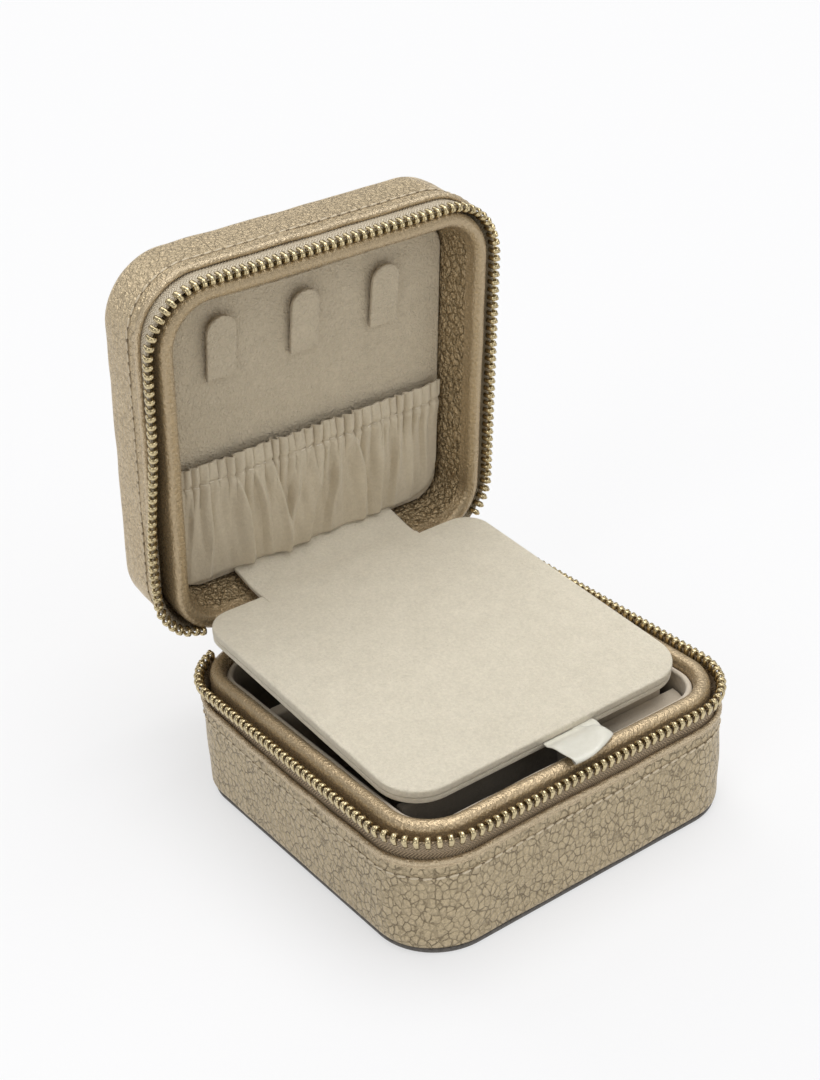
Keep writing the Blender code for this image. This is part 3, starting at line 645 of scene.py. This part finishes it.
def rounded_box(low, high, width):
    bm = bmesh.new()
    bmesh.ops.create_cube(bm, size=1.0)
    low, high = Vector(low), Vector(high)
    for vert in bm.verts:
        vert.co = Vector(((high[i] - low[i]) * (vert.co[i] + 0.5) + low[i] for i in range(3)))
    bmesh.ops.bevel(bm, geom=bm.edges, offset=width, segments=2, affect="EDGES", profile=0.6)
    bm.verts.index_update()
    verts = np.array([vert.co for vert in bm.verts])
    faces = [tuple(v.index for v in face.verts) for face in bm.faces]
    bm.free()
    return verts, faces


def tooth_shape():
    """A zip tooth: a rounded arch clamped over the tape, with a small nose on its crown."""
    legs, crown = 0.76, 1.62
    path = [(-legs, 0.0), (-legs, 0.55), (-legs, 1.1)]
    path += [(legs * cos(a), crown + legs * sin(a) * 0.95) for a in np.linspace(pi, 0.0, 9)]
    path += [(legs, 1.1), (legs, 0.55), (legs, 0.0)]
    path = np.array(path)
    tangent = np.gradient(path, axis=0)
    tangent /= np.linalg.norm(tangent, axis=1)[:, None]
    sides, wide, thick = 8, 0.70, 0.42
    verts = []
    for spot, (ty, tz) in zip(path, tangent):
        for k in range(sides):
            angle = 2 * pi * k / sides
            grow = thick * sin(angle)
            verts.append((wide * cos(angle), spot[0] - tz * grow, spot[1] + ty * grow))
    faces = tube_faces(len(path), sides)
    verts = np.array(verts)
    nub, nub_faces = rounded_box((-0.36, -0.40, 2.45), (0.36, 0.40, 3.0), 0.18)
    faces += [tuple(len(verts) + i for i in face) for face in nub_faces]
    verts = np.concatenate((verts, nub))
    verts[:, 2] *= TOOTH_HEIGHT_SHARE
    return verts, faces


def build_chain(body, matrix, root, up, end_right, lean, anchor):
    """Teeth of one half of the zip, up or down (1 or -1) from a root height."""
    points, normals, distance = rail(CHAIN_HALF, ZIP_END, end_right, 0.3)
    stops = np.arange(1.0, distance[-1] - 0.6, TOOTH_PITCH)
    places = rail_places(points, normals, distance, stops, root, 0.0, lean, anchor)
    verts, faces = scatter(tooth_shape(), [(o, a, n, u * up) for o, a, n, u in places])
    obj = new_object(f"{body}_teeth", verts, faces, matrix, METAL)
    mount(obj, body, "zip_metal", f"{body}_zipper_chain")


def build_tape(body, matrix, span, end_right, seed, lean, anchor, mat):
    """Woven tape that leans outwards past the leather's lip, slightly uneven."""
    points, normals, distance = rail(CHAIN_HALF - 0.05, ZIP_END, end_right, 0.7)
    angles = np.radians(np.interp(distance, *lean))
    low, high = span
    heights = np.linspace(low, high, 13)
    thick = 0.22
    sign = 1.0 if abs(high - anchor) > abs(low - anchor) else -1.0
    rows, uv = [], []
    for side in (1, -1):
        for height in heights[::side]:
            reach = max(0.0, (height - anchor) * sign)
            inner = min(0.0, (height - anchor) * sign)
            push = wobble(at_height(points, height), 14.0, 0.2, seed)
            out = reach * np.sin(angles) + thick * side * np.cos(angles) + push * 0.5
            spots = points + normals * out[:, None]
            z = anchor + sign * (reach * np.cos(angles) + inner - thick * side * np.sin(angles))
            rows.append(np.c_[spots, z])
            uv.append(at_height(distance, height))
    faces = tube_faces(len(points), len(rows))
    verts, uv = (np.concatenate(np.array(grid).transpose(1, 0, 2)) for grid in (rows, uv))
    obj = new_object(f"{body}_tape", verts, faces, matrix, mat, uv=uv)
    mount(obj, body, "zip_tape", f"{body}_zipper_tape")


# How far the zip leans outwards, in degrees, at distances along its path from the left rear
LID_LEAN = (
    (0, 3, 7, 15, 27, 35, 60, 85, 98, 112, 178, 192, 205, 300),
    (-10, -4, 15, 36, 44, 42, 20, 16, 4, -3, -3, 6, 14, 17),
)
BASE_LEAN = ((0, 6, 14, 86, 98, 110, 178, 205, 300), (4, 12, 21, 21, 23, 21, 17, 11, 9))


def build_zip():
    # The base's tape wears the darker copy (painted shade), the lid's the lighter copy (painted light).
    build_tape("base", BASE_FRAME, BASE_TAPE_SPAN, ZIP_END, 2, BASE_LEAN, BASE_EDGE, BASE_TAPE_PAINTED_SHADE)
    build_tape("lid", LID_FRAME, LID_TAPE_SPAN, ZIP_END - 2.0, 4, LID_LEAN, LID_EDGE, LID_TAPE_PAINTED_LIGHT)
    build_chain("base", BASE_FRAME, BASE_TOOTH_ROOT, 1, CHAIN_END_BASE, BASE_LEAN, BASE_EDGE)
    build_chain("lid", LID_FRAME, LID_TOOTH_ROOT, -1, CHAIN_END_LID, LID_LEAN, LID_EDGE)


# ---- collar, rim, tray ----

def build_collar():
    crest, middle = 2.12, 46.52
    section = [(44.4, 3.3), (48.1, 3.3), (48.1, 26.0), (48.64, 29.0), (48.64, 31.6)]
    section += [(middle + h, 34.85 - crest + v) for h, v in arc(0.0, 0.0, crest, 0.0, 180.0, 18)]
    section += [(44.4, 31.0)]
    uneven = {"ripple": 0.18, "grain": 12.0, "seed": 8}
    collar = loft("base_collar_leather", section, BASE_FRAME, SMOOTH, closed=True, **uneven)
    mount(collar, "base", "smooth_leather", "base_collar")


def build_lid_rim():
    crest, middle = 2.0, 46.4
    section = [(42.0, 22.6), (48.1, 22.6), (48.1, 8.5), (48.4, 6.0), (48.4, 3.4)]
    section += [(middle + h, 0.45 + crest - v) for h, v in arc(0.0, 0.0, crest, 0.0, 180.0, 18)]
    section += even([(44.35, 2.9), (42.0, 11.5)], 1.5)[1:]
    uneven = {"ripple": 0.18, "grain": 11.0, "seed": 9}
    # The rim and the inner wall wear the darker leather copies: painted shade.
    rim = loft("lid_rim_leather_painted_shade", section, LID_FRAME, RIM_PAINTED_SHADE, closed=True, **uneven)
    paint_faces(rim, LID_FRAME, WALL_LEATHER_PAINTED_SHADE, lambda s: s.z > 3.6 and max(abs(s.x), abs(s.y)) < 45.0)
    mount(rim, "lid", "smooth_leather", "lid_rim")


def build_tray():
    section = [(42.6, 6.0), (42.6, 24.0), (42.6, 28.0), (42.6, 31.0)]
    section += [(43.35 + h, 31.75 + v) for h, v in arc(0.0, 0.0, 0.75, 180.0, 0.0, 10)]
    section += [(44.1, 31.0), (44.1, 3.3)]
    # The liner's suede, and the suede of the front shelf and divider, carry the painted shadow from under the
    # flap.
    liner = loft("tray_suede_liner", section, BASE_FRAME, LINER, ripple=0.2, grain=10.0, seed=11)
    mount(liner, "base", "suede", "tray_liner")
    for node in ("front_divider", "centre_divider", "side_divider", "front_shelf"):
        paint(node, SHELF if node.startswith("front") else TRAY)


def paint(node, mat):
    mesh = frame["nodes"][node].data
    mesh.materials.clear()
    mesh.materials.append(mat)
    mesh.shade_smooth()
    mesh.set_sharp_from_angle(angle=radians(50.0))


def build_rolls():
    """Foam rolls wrapped in suede: round tops, puckered ends."""
    for index in range(1, ROLLS + 1):
        low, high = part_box(f"ring_roll_{index}")
        low, high = low / MM, high / MM
        width, length = high.y - low.y, high.x - low.x
        radius = width / 2
        middle = (low.y + high.y) / 2
        profile = [(middle - radius + 0.1, low.z), (middle + radius - 0.1, low.z)]
        profile += arc(middle, high.z - radius, radius, 0.0, 180.0, 18)
        rows = []
        for t in np.linspace(0.0, 1.0, 33):
            edge = min(t, 1.0 - t) * length
            shrink = 1.0 - 0.16 * exp(-((edge / 1.1) ** 2))
            ring = [(low.x + t * length, middle + (y - middle) * shrink, low.z + (z - low.z) * shrink)
                    for y, z in profile]
            rows.append(ring)
        verts = np.array(rows).reshape(-1, 3)
        verts[:, 2] += wobble(verts, 6.0, 0.35, index) * (verts[:, 2] > high.z - radius)
        faces = tube_faces(len(rows), len(profile))
        roll = new_object(f"ring_roll_{index}_suede", verts, faces, BASE_FRAME, TRAY)
        mount(roll, "base", "suede", f"ring_roll_{index}")


# ---- lid lining ----

def build_lining():
    """Suede panel with a wrapped edge, and the low fold of cloth near its top."""
    half, corner = 41.7, 7.7
    section = [(0.0, 13.3), (0.0, 12.9)]
    section += [(0.9 * (1 - cos(radians(a))), 12.9 - 0.95 * sin(radians(a))) for a in (20, 40, 60, 80, 90)]
    section += [(2.5, 11.86), (6.0, 11.78)]
    edge = partial(pad_outline, -half, half, -half, half, corner, corner)
    panel = slab("lining_panel_suede", edge, section, LID_FRAME, LINING)
    mount(panel, "lid", "suede", "lining_panel")
    stations, ring = 60, 7
    ridge = []
    for t in np.linspace(0.0, 1.0, stations):
        swell = min(1.0, 8.0 * min(t, 1.0 - t))
        sag = 0.25 * sin(5.0 * t)
        ridge.append([(-25.0 + 58.0 * t, -38.6 + sag + 0.4 * cos(a), 11.95 - 0.5 * sin(a) * swell)
                      for a in np.linspace(0.0, pi, ring)])
    verts = np.array(ridge).reshape(-1, 3)
    seam = new_object("lining_top_fold", verts, tube_faces(stations, ring), LID_FRAME, LINING)
    mount(seam, "lid", "suede")


POCKET_HALF = 40.3
POCKET_TOP = 4.2
POCKET_BOTTOM = 39.6
STITCH_SHARE = 0.155
# Each fold: where it leaves the stitching, where it ends, its width and height, and its lean
FOLDS = (
    (-37.5, -38.5, 3.6, 1.2, 0.4), (-32.5, -33.5, 3.8, 1.5, 0.6), (-25.5, -20.0, 5.2, 3.0, 0.9),
    (-19.5, -14.0, 4.0, 1.6, 0.4), (-14.0, -9.5, 4.2, 2.6, 1.0), (-5.5, -10.0, 4.4, 2.2, 0.3),
    (1.5, -3.5, 5.6, 3.1, 0.8), (6.5, 4.5, 4.2, 1.7, 0.3), (11.5, 15.5, 4.8, 2.5, 0.6),
    (20.0, 20.5, 4.4, 2.4, 1.0), (25.5, 26.0, 4.0, 1.4, 0.4), (30.0, 31.0, 4.4, 1.6, 0.7),
    (35.5, 36.0, 4.0, 1.0, 0.4),
)


def pocket_pleats():
    """Valleys between the lobes of the gathered hem, from one side to the other."""
    spots, x = [], -POCKET_HALF + 0.8
    while x < POCKET_HALF - 0.8:
        spots.append((x, random.uniform(0.5, 1.0)))
        x += random.uniform(2.0, 3.5)
    spots.append((POCKET_HALF - 0.8, 0.8))
    return spots


def hem_height(x, pleats):
    """Rounded lobes with narrow valleys between them, from 0 in a valley to about 1 on a crown."""
    for (a, depth_a), (b, depth_b) in zip(pleats, pleats[1:]):
        if a <= x <= b:
            t = (x - a) / (b - a)
            bowl = sin(pi * t) ** 0.55
            rest = 1.0 - (depth_a * (1 - t) + depth_b * t)
            return rest + (1.0 - rest) * bowl
    return 0.5


def fold_height(x, share):
    """How far the cloth stands off at one place below the stitching."""
    run = max(0.0, (share - STITCH_SHARE) / (1.0 - STITCH_SHARE))
    total = 0.0
    for top, foot, width, height, lean in FOLDS:
        middle = top + (foot - top) * run ** 0.8 + 0.5 * sin(5.0 * run + top)
        spread = width * (0.40 + 0.62 * run)
        offset = (x - middle) / spread
        offset *= (2.6 if offset > 0 else 0.8) if lean > 0.5 else (0.8 if offset > 0 else 2.0)
        rise = max(0.0, 1.0 - abs(offset)) ** 1.3
        total += 1.25 * height * rise * min(1.0, 2.6 * run + 0.12) * (1.0 - 0.5 * run ** 2.5)
    return total


def pocket_depth(x, share, pleats):
    """Distance of the pocket's front from the lining at one place."""
    below = max(0.0, share - STITCH_SHARE)
    hem = exp(-((below / 0.16) ** 1.5))
    depth = 1.1 + 1.75 * hem_height(x, pleats) * hem
    bulge = sin(pi * min(1.0, max(0.0, share)) ** 0.8)
    depth += 0.9 * bulge * (1.0 - (x / POCKET_HALF) ** 4)
    depth -= 0.75 * exp(-(((share - STITCH_SHARE) / 0.02) ** 2))
    fade = 1.0 - (abs(x) / (POCKET_HALF + 1.0)) ** 10
    pucker = 0.35 * sin(x * 1.9 + 3.0 * sin(4.0 * share)) * exp(-((below / 0.5) ** 2))
    depth += (fold_height(x, share) + pucker) * fade
    return depth * (1.0 if share < 0.95 else 1.0 - 0.85 * ((share - 0.95) / 0.05) ** 2)


def pocket_edge(y, radius):
    """Half width of the pocket at a height in the lid, following one of the lining's lower corners."""
    start = POCKET_BOTTOM - radius
    if y < start:
        return POCKET_HALF
    return POCKET_HALF - radius + (max(0.0, radius * radius - (y - start) ** 2)) ** 0.5


def build_pocket():
    pleats = pocket_pleats()
    columns, rows = 560, 150
    front = []
    for j in range(rows + 1):
        share = j / rows
        y = POCKET_TOP + (POCKET_BOTTOM - POCKET_TOP) * share
        left, right = pocket_edge(y, 3.0), pocket_edge(y, 12.0)
        for i in range(columns + 1):
            x = -left + (left + right) * i / columns
            depth = pocket_depth(x, share, pleats)
            sway = 0.5 * noise.noise(Vector((x / 7.0, y / 9.0, 3.0)))
            top = (1.0 - share) ** 3
            lift = (0.6 * noise.noise(Vector((x / 6.0, 1.0, 7.0))) - 0.45 * hem_height(x, pleats)) * top
            front.append((x, y + lift, PANEL_FRONT - max(0.45, depth + sway * 0.5)))
    faces = grid_faces(rows + 1, columns + 1)
    pocket = new_object("gathered_pocket", front, faces, LID_FRAME, POCKET)
    thicken(pocket, 0.45)
    mount(pocket, "lid", "suede", "elastic_pocket")
    stitches = build_pocket_stitches(pleats)


def build_pocket_stitches(pleats):
    y = POCKET_TOP + (POCKET_BOTTOM - POCKET_TOP) * STITCH_SHARE
    places = []
    for x in np.arange(-POCKET_HALF + 1.5, POCKET_HALF - 1.0, 2.3):
        slope = pocket_depth(x + 0.6, STITCH_SHARE, pleats) - pocket_depth(x - 0.6, STITCH_SHARE, pleats)
        depth = pocket_depth(x, STITCH_SHARE, pleats)
        along = Vector((1.2, 0.0, -slope)).normalized()
        up = Vector((0.0, 1.0, 0.0))
        spot = (x, y, PANEL_FRONT - depth - 0.28)
        places.append([np.array(v) for v in (spot, along, up.cross(along), up)])
    verts, faces = scatter(stitch_shape(1.5, 0.2), places)
    obj = new_object("pocket_stitching", verts, faces, LID_FRAME, PALE_THREAD)
    mount(obj, "lid", "suede")
    return obj


def thicken(obj, thickness, offset=0.0):
    """Gives an open sheet a thickness in millimetres, as a plain mesh."""
    solid = obj.modifiers.new("thickness", "SOLIDIFY")
    solid.thickness = thickness * MM
    solid.offset = offset
    graph = bpy.context.evaluated_depsgraph_get()
    mesh = bpy.data.meshes.new_from_object(obj.evaluated_get(graph))
    obj.modifiers.clear()
    obj.data = mesh
    mesh.shade_smooth()


# ---- soft flat pieces ----

PAD_CORNER_STEPS = 12
PAD_RIM = 5.0
PAD_FRONT_ROUND, PAD_REAR_ROUND = 11.0, 7.4
NOTCH_HALF, NOTCH_FRONT = 25.2, -4.2


def pad_outline(x0, x1, y0, y1, front_round, rear_round, inset):
    """Rounded rectangle, inset by a distance, as a closed loop."""
    points = []
    corners = (
        (x1 - rear_round, y1 - rear_round, rear_round), (x0 + rear_round, y1 - rear_round, rear_round),
        (x0 + front_round, y0 + front_round, front_round), (x1 - front_round, y0 + front_round, front_round),
    )
    for quarter, (cx, cy, radius) in enumerate(corners):
        start = 90.0 * quarter
        points += arc(cx, cy, max(0.05, radius - inset), start, start + 90.0, PAD_CORNER_STEPS)
    return points


def slab(name, outline_at, section, matrix, mat, seed=1, ripple=0.0):
    """Closed slab from loops at (inset, height, share); share shrinks a loop towards its middle."""
    rows = []
    for inset, z, *share in section:
        loop = np.array(outline_at(inset))
        if share:
            centre = (loop.min(axis=0) + loop.max(axis=0)) / 2
            loop = centre + (loop - centre) * share[0]
        rows.append(at_height(loop, z))
    verts = np.concatenate(rows)
    if ripple:
        verts[:, 2] += wobble(verts, 16.0, ripple, seed)
    return new_object(name, verts, tube_faces(len(rows), len(rows[0])), matrix, mat)


def pad_section(low, high, round_low, round_high, crown):
    """Section of a wrapped pad, from under its middle, round its edge, to its crown."""
    section = [(PAD_RIM, low, s) for s in (0.02, 0.5, 0.9)] + [(PAD_RIM, low), (4.0, low)]
    section += [(round_low * (1 - sin(radians(a))), low + round_low * (1 - cos(radians(a))))
                for a in np.linspace(0.0, 90.0, 6)]
    section += [(round_high * (1 - cos(radians(a))), high - round_high * (1 - sin(radians(a))))
                for a in np.linspace(0.0, 90.0, 8)]
    section += [(round_high + 0.8, high + crown * 0.3), (round_high + 2.0, high + crown * 0.6)]
    section += [(round_high + 4.0, high + crown * 0.85)]
    section += [(PAD_RIM, high + crown, s) for s in (0.96, 0.88, 0.78, 0.66, 0.52, 0.38, 0.24, 0.12, 0.02)]
    return section


def notched_outline(x0, x1, y0, y1, inset):
    """Pad outline whose rear edge steps forward where the tongue crosses it.

    At the pad's rim, where loops begin to shrink to the middle, the rear edge is level."""
    level = inset >= PAD_RIM
    half, front = NOTCH_HALF + inset + 1.8 * level, NOTCH_FRONT - inset
    rear = front if level else y1 - inset
    loop = pad_outline(x0, x1, y0, rear + inset, PAD_FRONT_ROUND, PAD_REAR_ROUND, inset)
    ear = [(x, max(front, rear + y)) for x, y in ((half + 0.5, 0.0), (half + 0.1, -0.2), (half, -0.5))]
    ear += [(half, min(rear, front + 0.3)), (half - 0.3, front)]
    between = [(x, front) for x in np.linspace(half - 2.0, -half + 2.0, 21)]
    corner = PAD_CORNER_STEPS + 1
    return loop[:corner] + ear + between + [(-x, y) for x, y in reversed(ear)] + loop[corner:]


def build_flap():
    """Two wrapped pads, with a dark core between them as painted shadow in the seam."""
    section = pad_section(low=0.72, high=2.75, round_low=0.2, round_high=0.55, crown=0.1)
    edge = partial(notched_outline, -43.7, 43.5, -87.5, -0.8)
    top = slab("flap_top_suede", edge, section, FLAP_FRAME, FLAP, 4, 0.14)
    section = pad_section(low=-1.08, high=0.45, round_low=0.35, round_high=0.25, crown=0.0)
    edge = partial(notched_outline, -43.6, 43.4, -87.4, -0.9)
    low = slab("flap_under_suede", edge, section, FLAP_FRAME, FLAP)
    # A dark core in the seam between the pads: painted shadow.
    section = [(1.0, 0.3, 0.5), (0.0, 0.3), (0.0, 0.8), (1.0, 0.8, 0.5)]
    edge = partial(pad_outline, -43.1, 42.9, -86.9, -5.4, 10.5, 5.0)
    core = slab("flap_seam_shadow", edge, section, FLAP_FRAME, SEAM_SHADOW)
    for piece, node in ((top, "flap_top_pad"), (low, "flap_under_pad")):
        mount(piece, "flap", "flap_suede", node)
    mount(core, "flap", "flap_suede")


def resample(path, count):
    """Columns of a path of (y, z), with points added evenly between its own."""
    fine = np.linspace(0.0, len(path) - 1.0, count)
    return [np.interp(fine, range(len(path)), column) for column in zip(*path)]


def tongue(name, path, half, thick, drop, left_extra):
    """Flat suede tongue along a path of (y, top height), square-edged, in the flap's frame."""
    ys, zs = resample(path, 40)
    zs[1:-1] = (zs[:-2] + zs[1:-1] + zs[2:]) / 3
    soft = 0.16
    rows = []
    for y, z in zip(ys, zs):
        top, low = z - drop, z - drop - thick
        left, right = -half - left_extra, half
        edge = [(0.0, low + soft), (0.0, top - soft), (soft, top - soft * 0.3), (2 * soft, top)]
        ring = [(left + a, y, b) for a, b in edge]
        ring += [(x, y, top) for x in np.linspace(left + 1.0, right - 1.0, 21)]
        ring += [(right - a, y, b) for a, b in reversed(edge)]
        rows.append(ring + [(right - soft, y, low), (left + soft, y, low)])
    verts = np.array(rows).reshape(-1, 3)
    return new_object(name, verts, tube_faces(len(rows), len(rows[0])), FLAP_FRAME, FLAP)


def build_flap_tab():
    """The suede tongue that carries on from the flap's top and lies in the lid."""
    out = [(-0.35, 2.78), (0.6, 2.72), (1.8, 2.66), (3.2, 2.72)]
    out += [(5.5, 3.0), (8.0, 3.45), (10.5, 3.95), (12.8, 4.4)]
    back = [(-7.5, 2.6), (-5.5, 2.82), (-2.0, 2.85), (-0.9, 2.84), (-0.3, 2.78), (0.3, 2.74)]
    tab = tongue("flap_tab_suede", out, half=24.9, thick=1.0, drop=0.0, left_extra=0.4)
    backing = tongue("flap_tab_backing", out, half=24.5, thick=0.8, drop=1.15, left_extra=0.4)
    root = tongue("flap_tab_root", back, half=NOTCH_HALF, thick=0.9, drop=0.0, left_extra=0.12)
    for piece, far, near, start, end in (
        (tab, "lid", "flap_crease", 4.5, 0.6), (backing, "lid", "flap_crease", 4.5, 0.6),
        (root, "flap_crease", "flap", 0.2, -1.2),
    ):
        start, end = FLAP_FRAME @ Vector((0, start, 0)), FLAP_FRAME @ Vector((0, end, 0))
        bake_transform(piece)
    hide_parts("flap_tab", "flap_crease")


def strap_outline(inset):
    """Tongue with a square foot at its hinge end and a round head, as a closed loop."""
    half, length = 4.15 - inset, 17.3
    neck = length - 4.15
    foot = -inset
    right = [(half, -y) for y in np.linspace(inset + 0.12, neck, 8)]
    head = [(a, -neck - b) for a, b in arc(0.0, 0.0, half, 0.0, 180.0, 20)][1:-1]
    left = [(-half, -y) for y in np.linspace(neck, inset + 0.12, 8)]
    bottom = [(x, foot) for x in np.linspace(-half + 0.12, half - 0.12, 6)]
    return right + head + left + bottom


def build_straps():
    """Necklace straps: thin suede tongues with a square foot and a round head."""
    section = [(3.2, 0.05), (0.2, 0.05), (0.0, -0.1), (0.0, -0.72)]
    section += [(0.08, -0.86), (0.28, -0.93), (1.0, -0.95), (3.2, -0.97)]
    for index in (1, 2, 3):
        pos = Vector(joints[f"strap_{index}_lift"]["pos_m"])
        tilt = Matrix.Rotation(radians(-LID_OPEN + 4.5), 4, "X")
        matrix = Matrix.Translation(pos) @ tilt @ SCALE
        strap = slab(f"strap_{index}_suede", strap_outline, section, matrix, LINING)
        mount(strap, f"strap_{index}", "suede", f"necklace_strap_{index}")
        paint(f"snap_stud_{index}", METAL)


def smooth_path(points, count):
    """Points spread evenly along a rounded curve through given points."""
    points = np.array(points, float)
    for _ in range(3):
        cut = [points[0]]
        for a, b in zip(points, points[1:]):
            cut += [a * 0.75 + b * 0.25, a * 0.25 + b * 0.75]
        points = np.array(cut + [points[-1]])
    travel = np.r_[0.0, np.cumsum(np.linalg.norm(np.diff(points, axis=0), axis=1))]
    return np.c_[tuple(np.interp(np.linspace(0, travel[-1], count), travel, points[:, k]) for k in range(3))]


# The ribbon's two edges, from the flap's front, round the loop's tip and back underneath
RIBBON_LEFT = (
    (-4.0, -38.3, 35.15), (-4.6, -40.2, 35.2), (-5.0, -42.3, 36.5), (-4.8, -46.0, 36.5), (-4.6, -49.6, 37.0),
    (-4.5, -50.6, 36.3), (-4.2, -49.8, 35.2), (-2.5, -46.0, 34.95), (2.0, -41.0, 34.95), (5.0, -38.2, 35.0),
)
RIBBON_RIGHT = (
    (7.0, -38.3, 35.15), (7.8, -40.2, 35.3), (8.5, -42.2, 36.6), (9.2, -44.0, 37.0), (9.8, -46.6, 36.7),
    (10.0, -47.2, 36.1), (9.9, -46.6, 35.5), (10.5, -43.0, 35.3), (11.2, -39.8, 35.3), (11.0, -38.2, 35.1),
)


def build_ribbon():
    """Satin ribbon folded into a loop: out over the collar, round, and back underneath."""
    count, wide = 90, 25
    left, right = smooth_path(RIBBON_LEFT, count), smooth_path(RIBBON_RIGHT, count)
    verts, uv = [], []
    for row in range(count):
        share = row / (count - 1)
        for k in range(wide):
            t = k / (wide - 1)
            spot = left[row] * (1 - t) + right[row] * t
            wave = 0.6 * sin(pi * t) * (1.0 - 2.0 * share) + 0.28 * sin(6.5 * t + 7.0 * share)
            wave *= min(1.0, 5.0 * min(share, 1.0 - share))
            bow = 1.5 * sin(pi * t) * sin(pi * min(1.0, share * 1.1)) ** 2
            verts.append((spot[0] + 0.6 * bow, spot[1] - bow, spot[2] + wave))
            uv.append((12.0 * t, 26.0 * share))
    ribbon = new_object("satin_pull", verts, grid_faces(count, wide), BASE_FRAME, SATIN, uv=uv)
    thicken(ribbon, 0.22, -1.0)
    mount(ribbon, "ribbon", "satin_ribbon", "ribbon_pull")


def build_spine():
    """One strip of leather that bends across the back between the two halves."""
    path = (
        (50.35, 26.0), (50.4, 29.5), (50.5, 32.0), (50.75, 33.8), (51.35, 35.0),
        (52.5, 35.55), (54.5, 35.9), (57.5, 36.3), (60.0, 36.6),
    )
    ys, zs = resample(path, 60)
    kernel = np.ones(7) / 7
    ys[3:-3], zs[3:-3] = np.convolve(ys, kernel, "valid"), np.convolve(zs, kernel, "valid")
    xs = np.linspace(-36.0, 36.0, 73)
    verts = [(x, y, z) for y, z in zip(ys, zs) for x in xs]
    spine = new_object("spine_leather", verts, grid_faces(len(ys), len(xs)), BASE_FRAME, LEATHER)
    thicken(spine, 1.0)
    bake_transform(spine)
    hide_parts("base_spine", "lid_spine")


# ---- stage ----

WHITE = (1.0, 1.0, 1.0, 1.0)
WORLD = 0.34
FLOOR_GLOW = 0.58
FLOOR_COLOUR = (0.32, 0.32, 0.325)
SUNS = (
    ("key", (0.22, 0.03, 1.0), 2.0, 56.0),
    ("back_rim", (0.12, 1.0, 0.75), 0.62, 40.0),
    ("left_fill", (-1.0, -0.35, 0.62), 0.45, 28.0),
    ("front_fill", (0.35, -0.9, 0.7), 0.46, 50.0),
)
LENS = 61.76
SENSOR = 36.0
CAMERA_TARGET = (-0.01155, 0.0, 0.07619)
CAMERA_DISTANCE = 0.43464
CAMERA_AZIMUTH, CAMERA_ELEVATION, CAMERA_ROLL = -35.12, 29.15, -3.33


def build_floor():
    """Pale studio floor, wide enough to fill the view, lifted by a faint glow of its own."""
    mesh = bpy.data.meshes.new("floor")
    reach = 6.0
    corners = [(-reach, -reach, 0), (reach, -reach, 0), (reach, reach, 0), (-reach, reach, 0)]
    mesh.from_pydata(corners, [], [(0, 1, 2, 3)])
    floor = show(bpy.data.objects.new("floor", mesh))
    glow = {"Specular IOR Level": 0.0, "Emission Color": WHITE, "Emission Strength": FLOOR_GLOW}
    mesh.materials.append(Nodes("floor_white", FLOOR_COLOUR, 0.9, 0.0, glow).mat)
    floor.location.z = -0.0001


def build_lights():
    """Even studio light: a white world, and suns; each direction points from the case to the sun."""
    world = bpy.data.worlds.new("studio")
    bpy.context.scene.world = world
    world.use_nodes = True
    background = world.node_tree.nodes["Background"]
    background.inputs["Color"].default_value = WHITE
    background.inputs["Strength"].default_value = WORLD
    for name, towards, strength, spread in SUNS:
        data = bpy.data.lights.new(name, "SUN")
        data.energy, data.angle = strength, radians(spread)
        lamp = show(bpy.data.objects.new(name, data))
        lamp.rotation_euler = Vector(towards).to_track_quat("Z", "Y").to_euler()
    bpy.context.scene.view_settings.view_transform = "Standard"


def build_camera():
    data = bpy.data.cameras.new("photo_view")
    data.lens = LENS
    data.sensor_width = SENSOR
    data.clip_start = 0.01
    camera = show(bpy.data.objects.new("photo_view", data))
    azimuth, elevation, roll = radians(CAMERA_AZIMUTH), radians(CAMERA_ELEVATION), radians(CAMERA_ROLL)
    back = Vector((sin(azimuth) * cos(elevation), -cos(azimuth) * cos(elevation), sin(elevation)))
    right = (-back).cross(Vector((0.0, 0.0, 1.0))).normalized()
    up = right.cross(-back)
    right, up = right * cos(roll) + up * sin(roll), up * cos(roll) - right * sin(roll)
    facing = Matrix((right, up, back)).transposed().to_4x4()
    camera.matrix_world = Matrix.Translation(Vector(CAMERA_TARGET) + back * CAMERA_DISTANCE) @ facing
    bpy.context.scene.camera = camera


def main():
    for build in (
        build_shells, build_stitching, build_zip, build_collar, build_lid_rim, build_tray, build_rolls,
        build_lining, build_pocket, build_flap, build_flap_tab, build_straps, build_ribbon, build_spine,
        build_floor, build_lights, build_camera,
    ):
        build()
    paint("zipper_slider", METAL)
    paint("zipper_pull", METAL)


main()
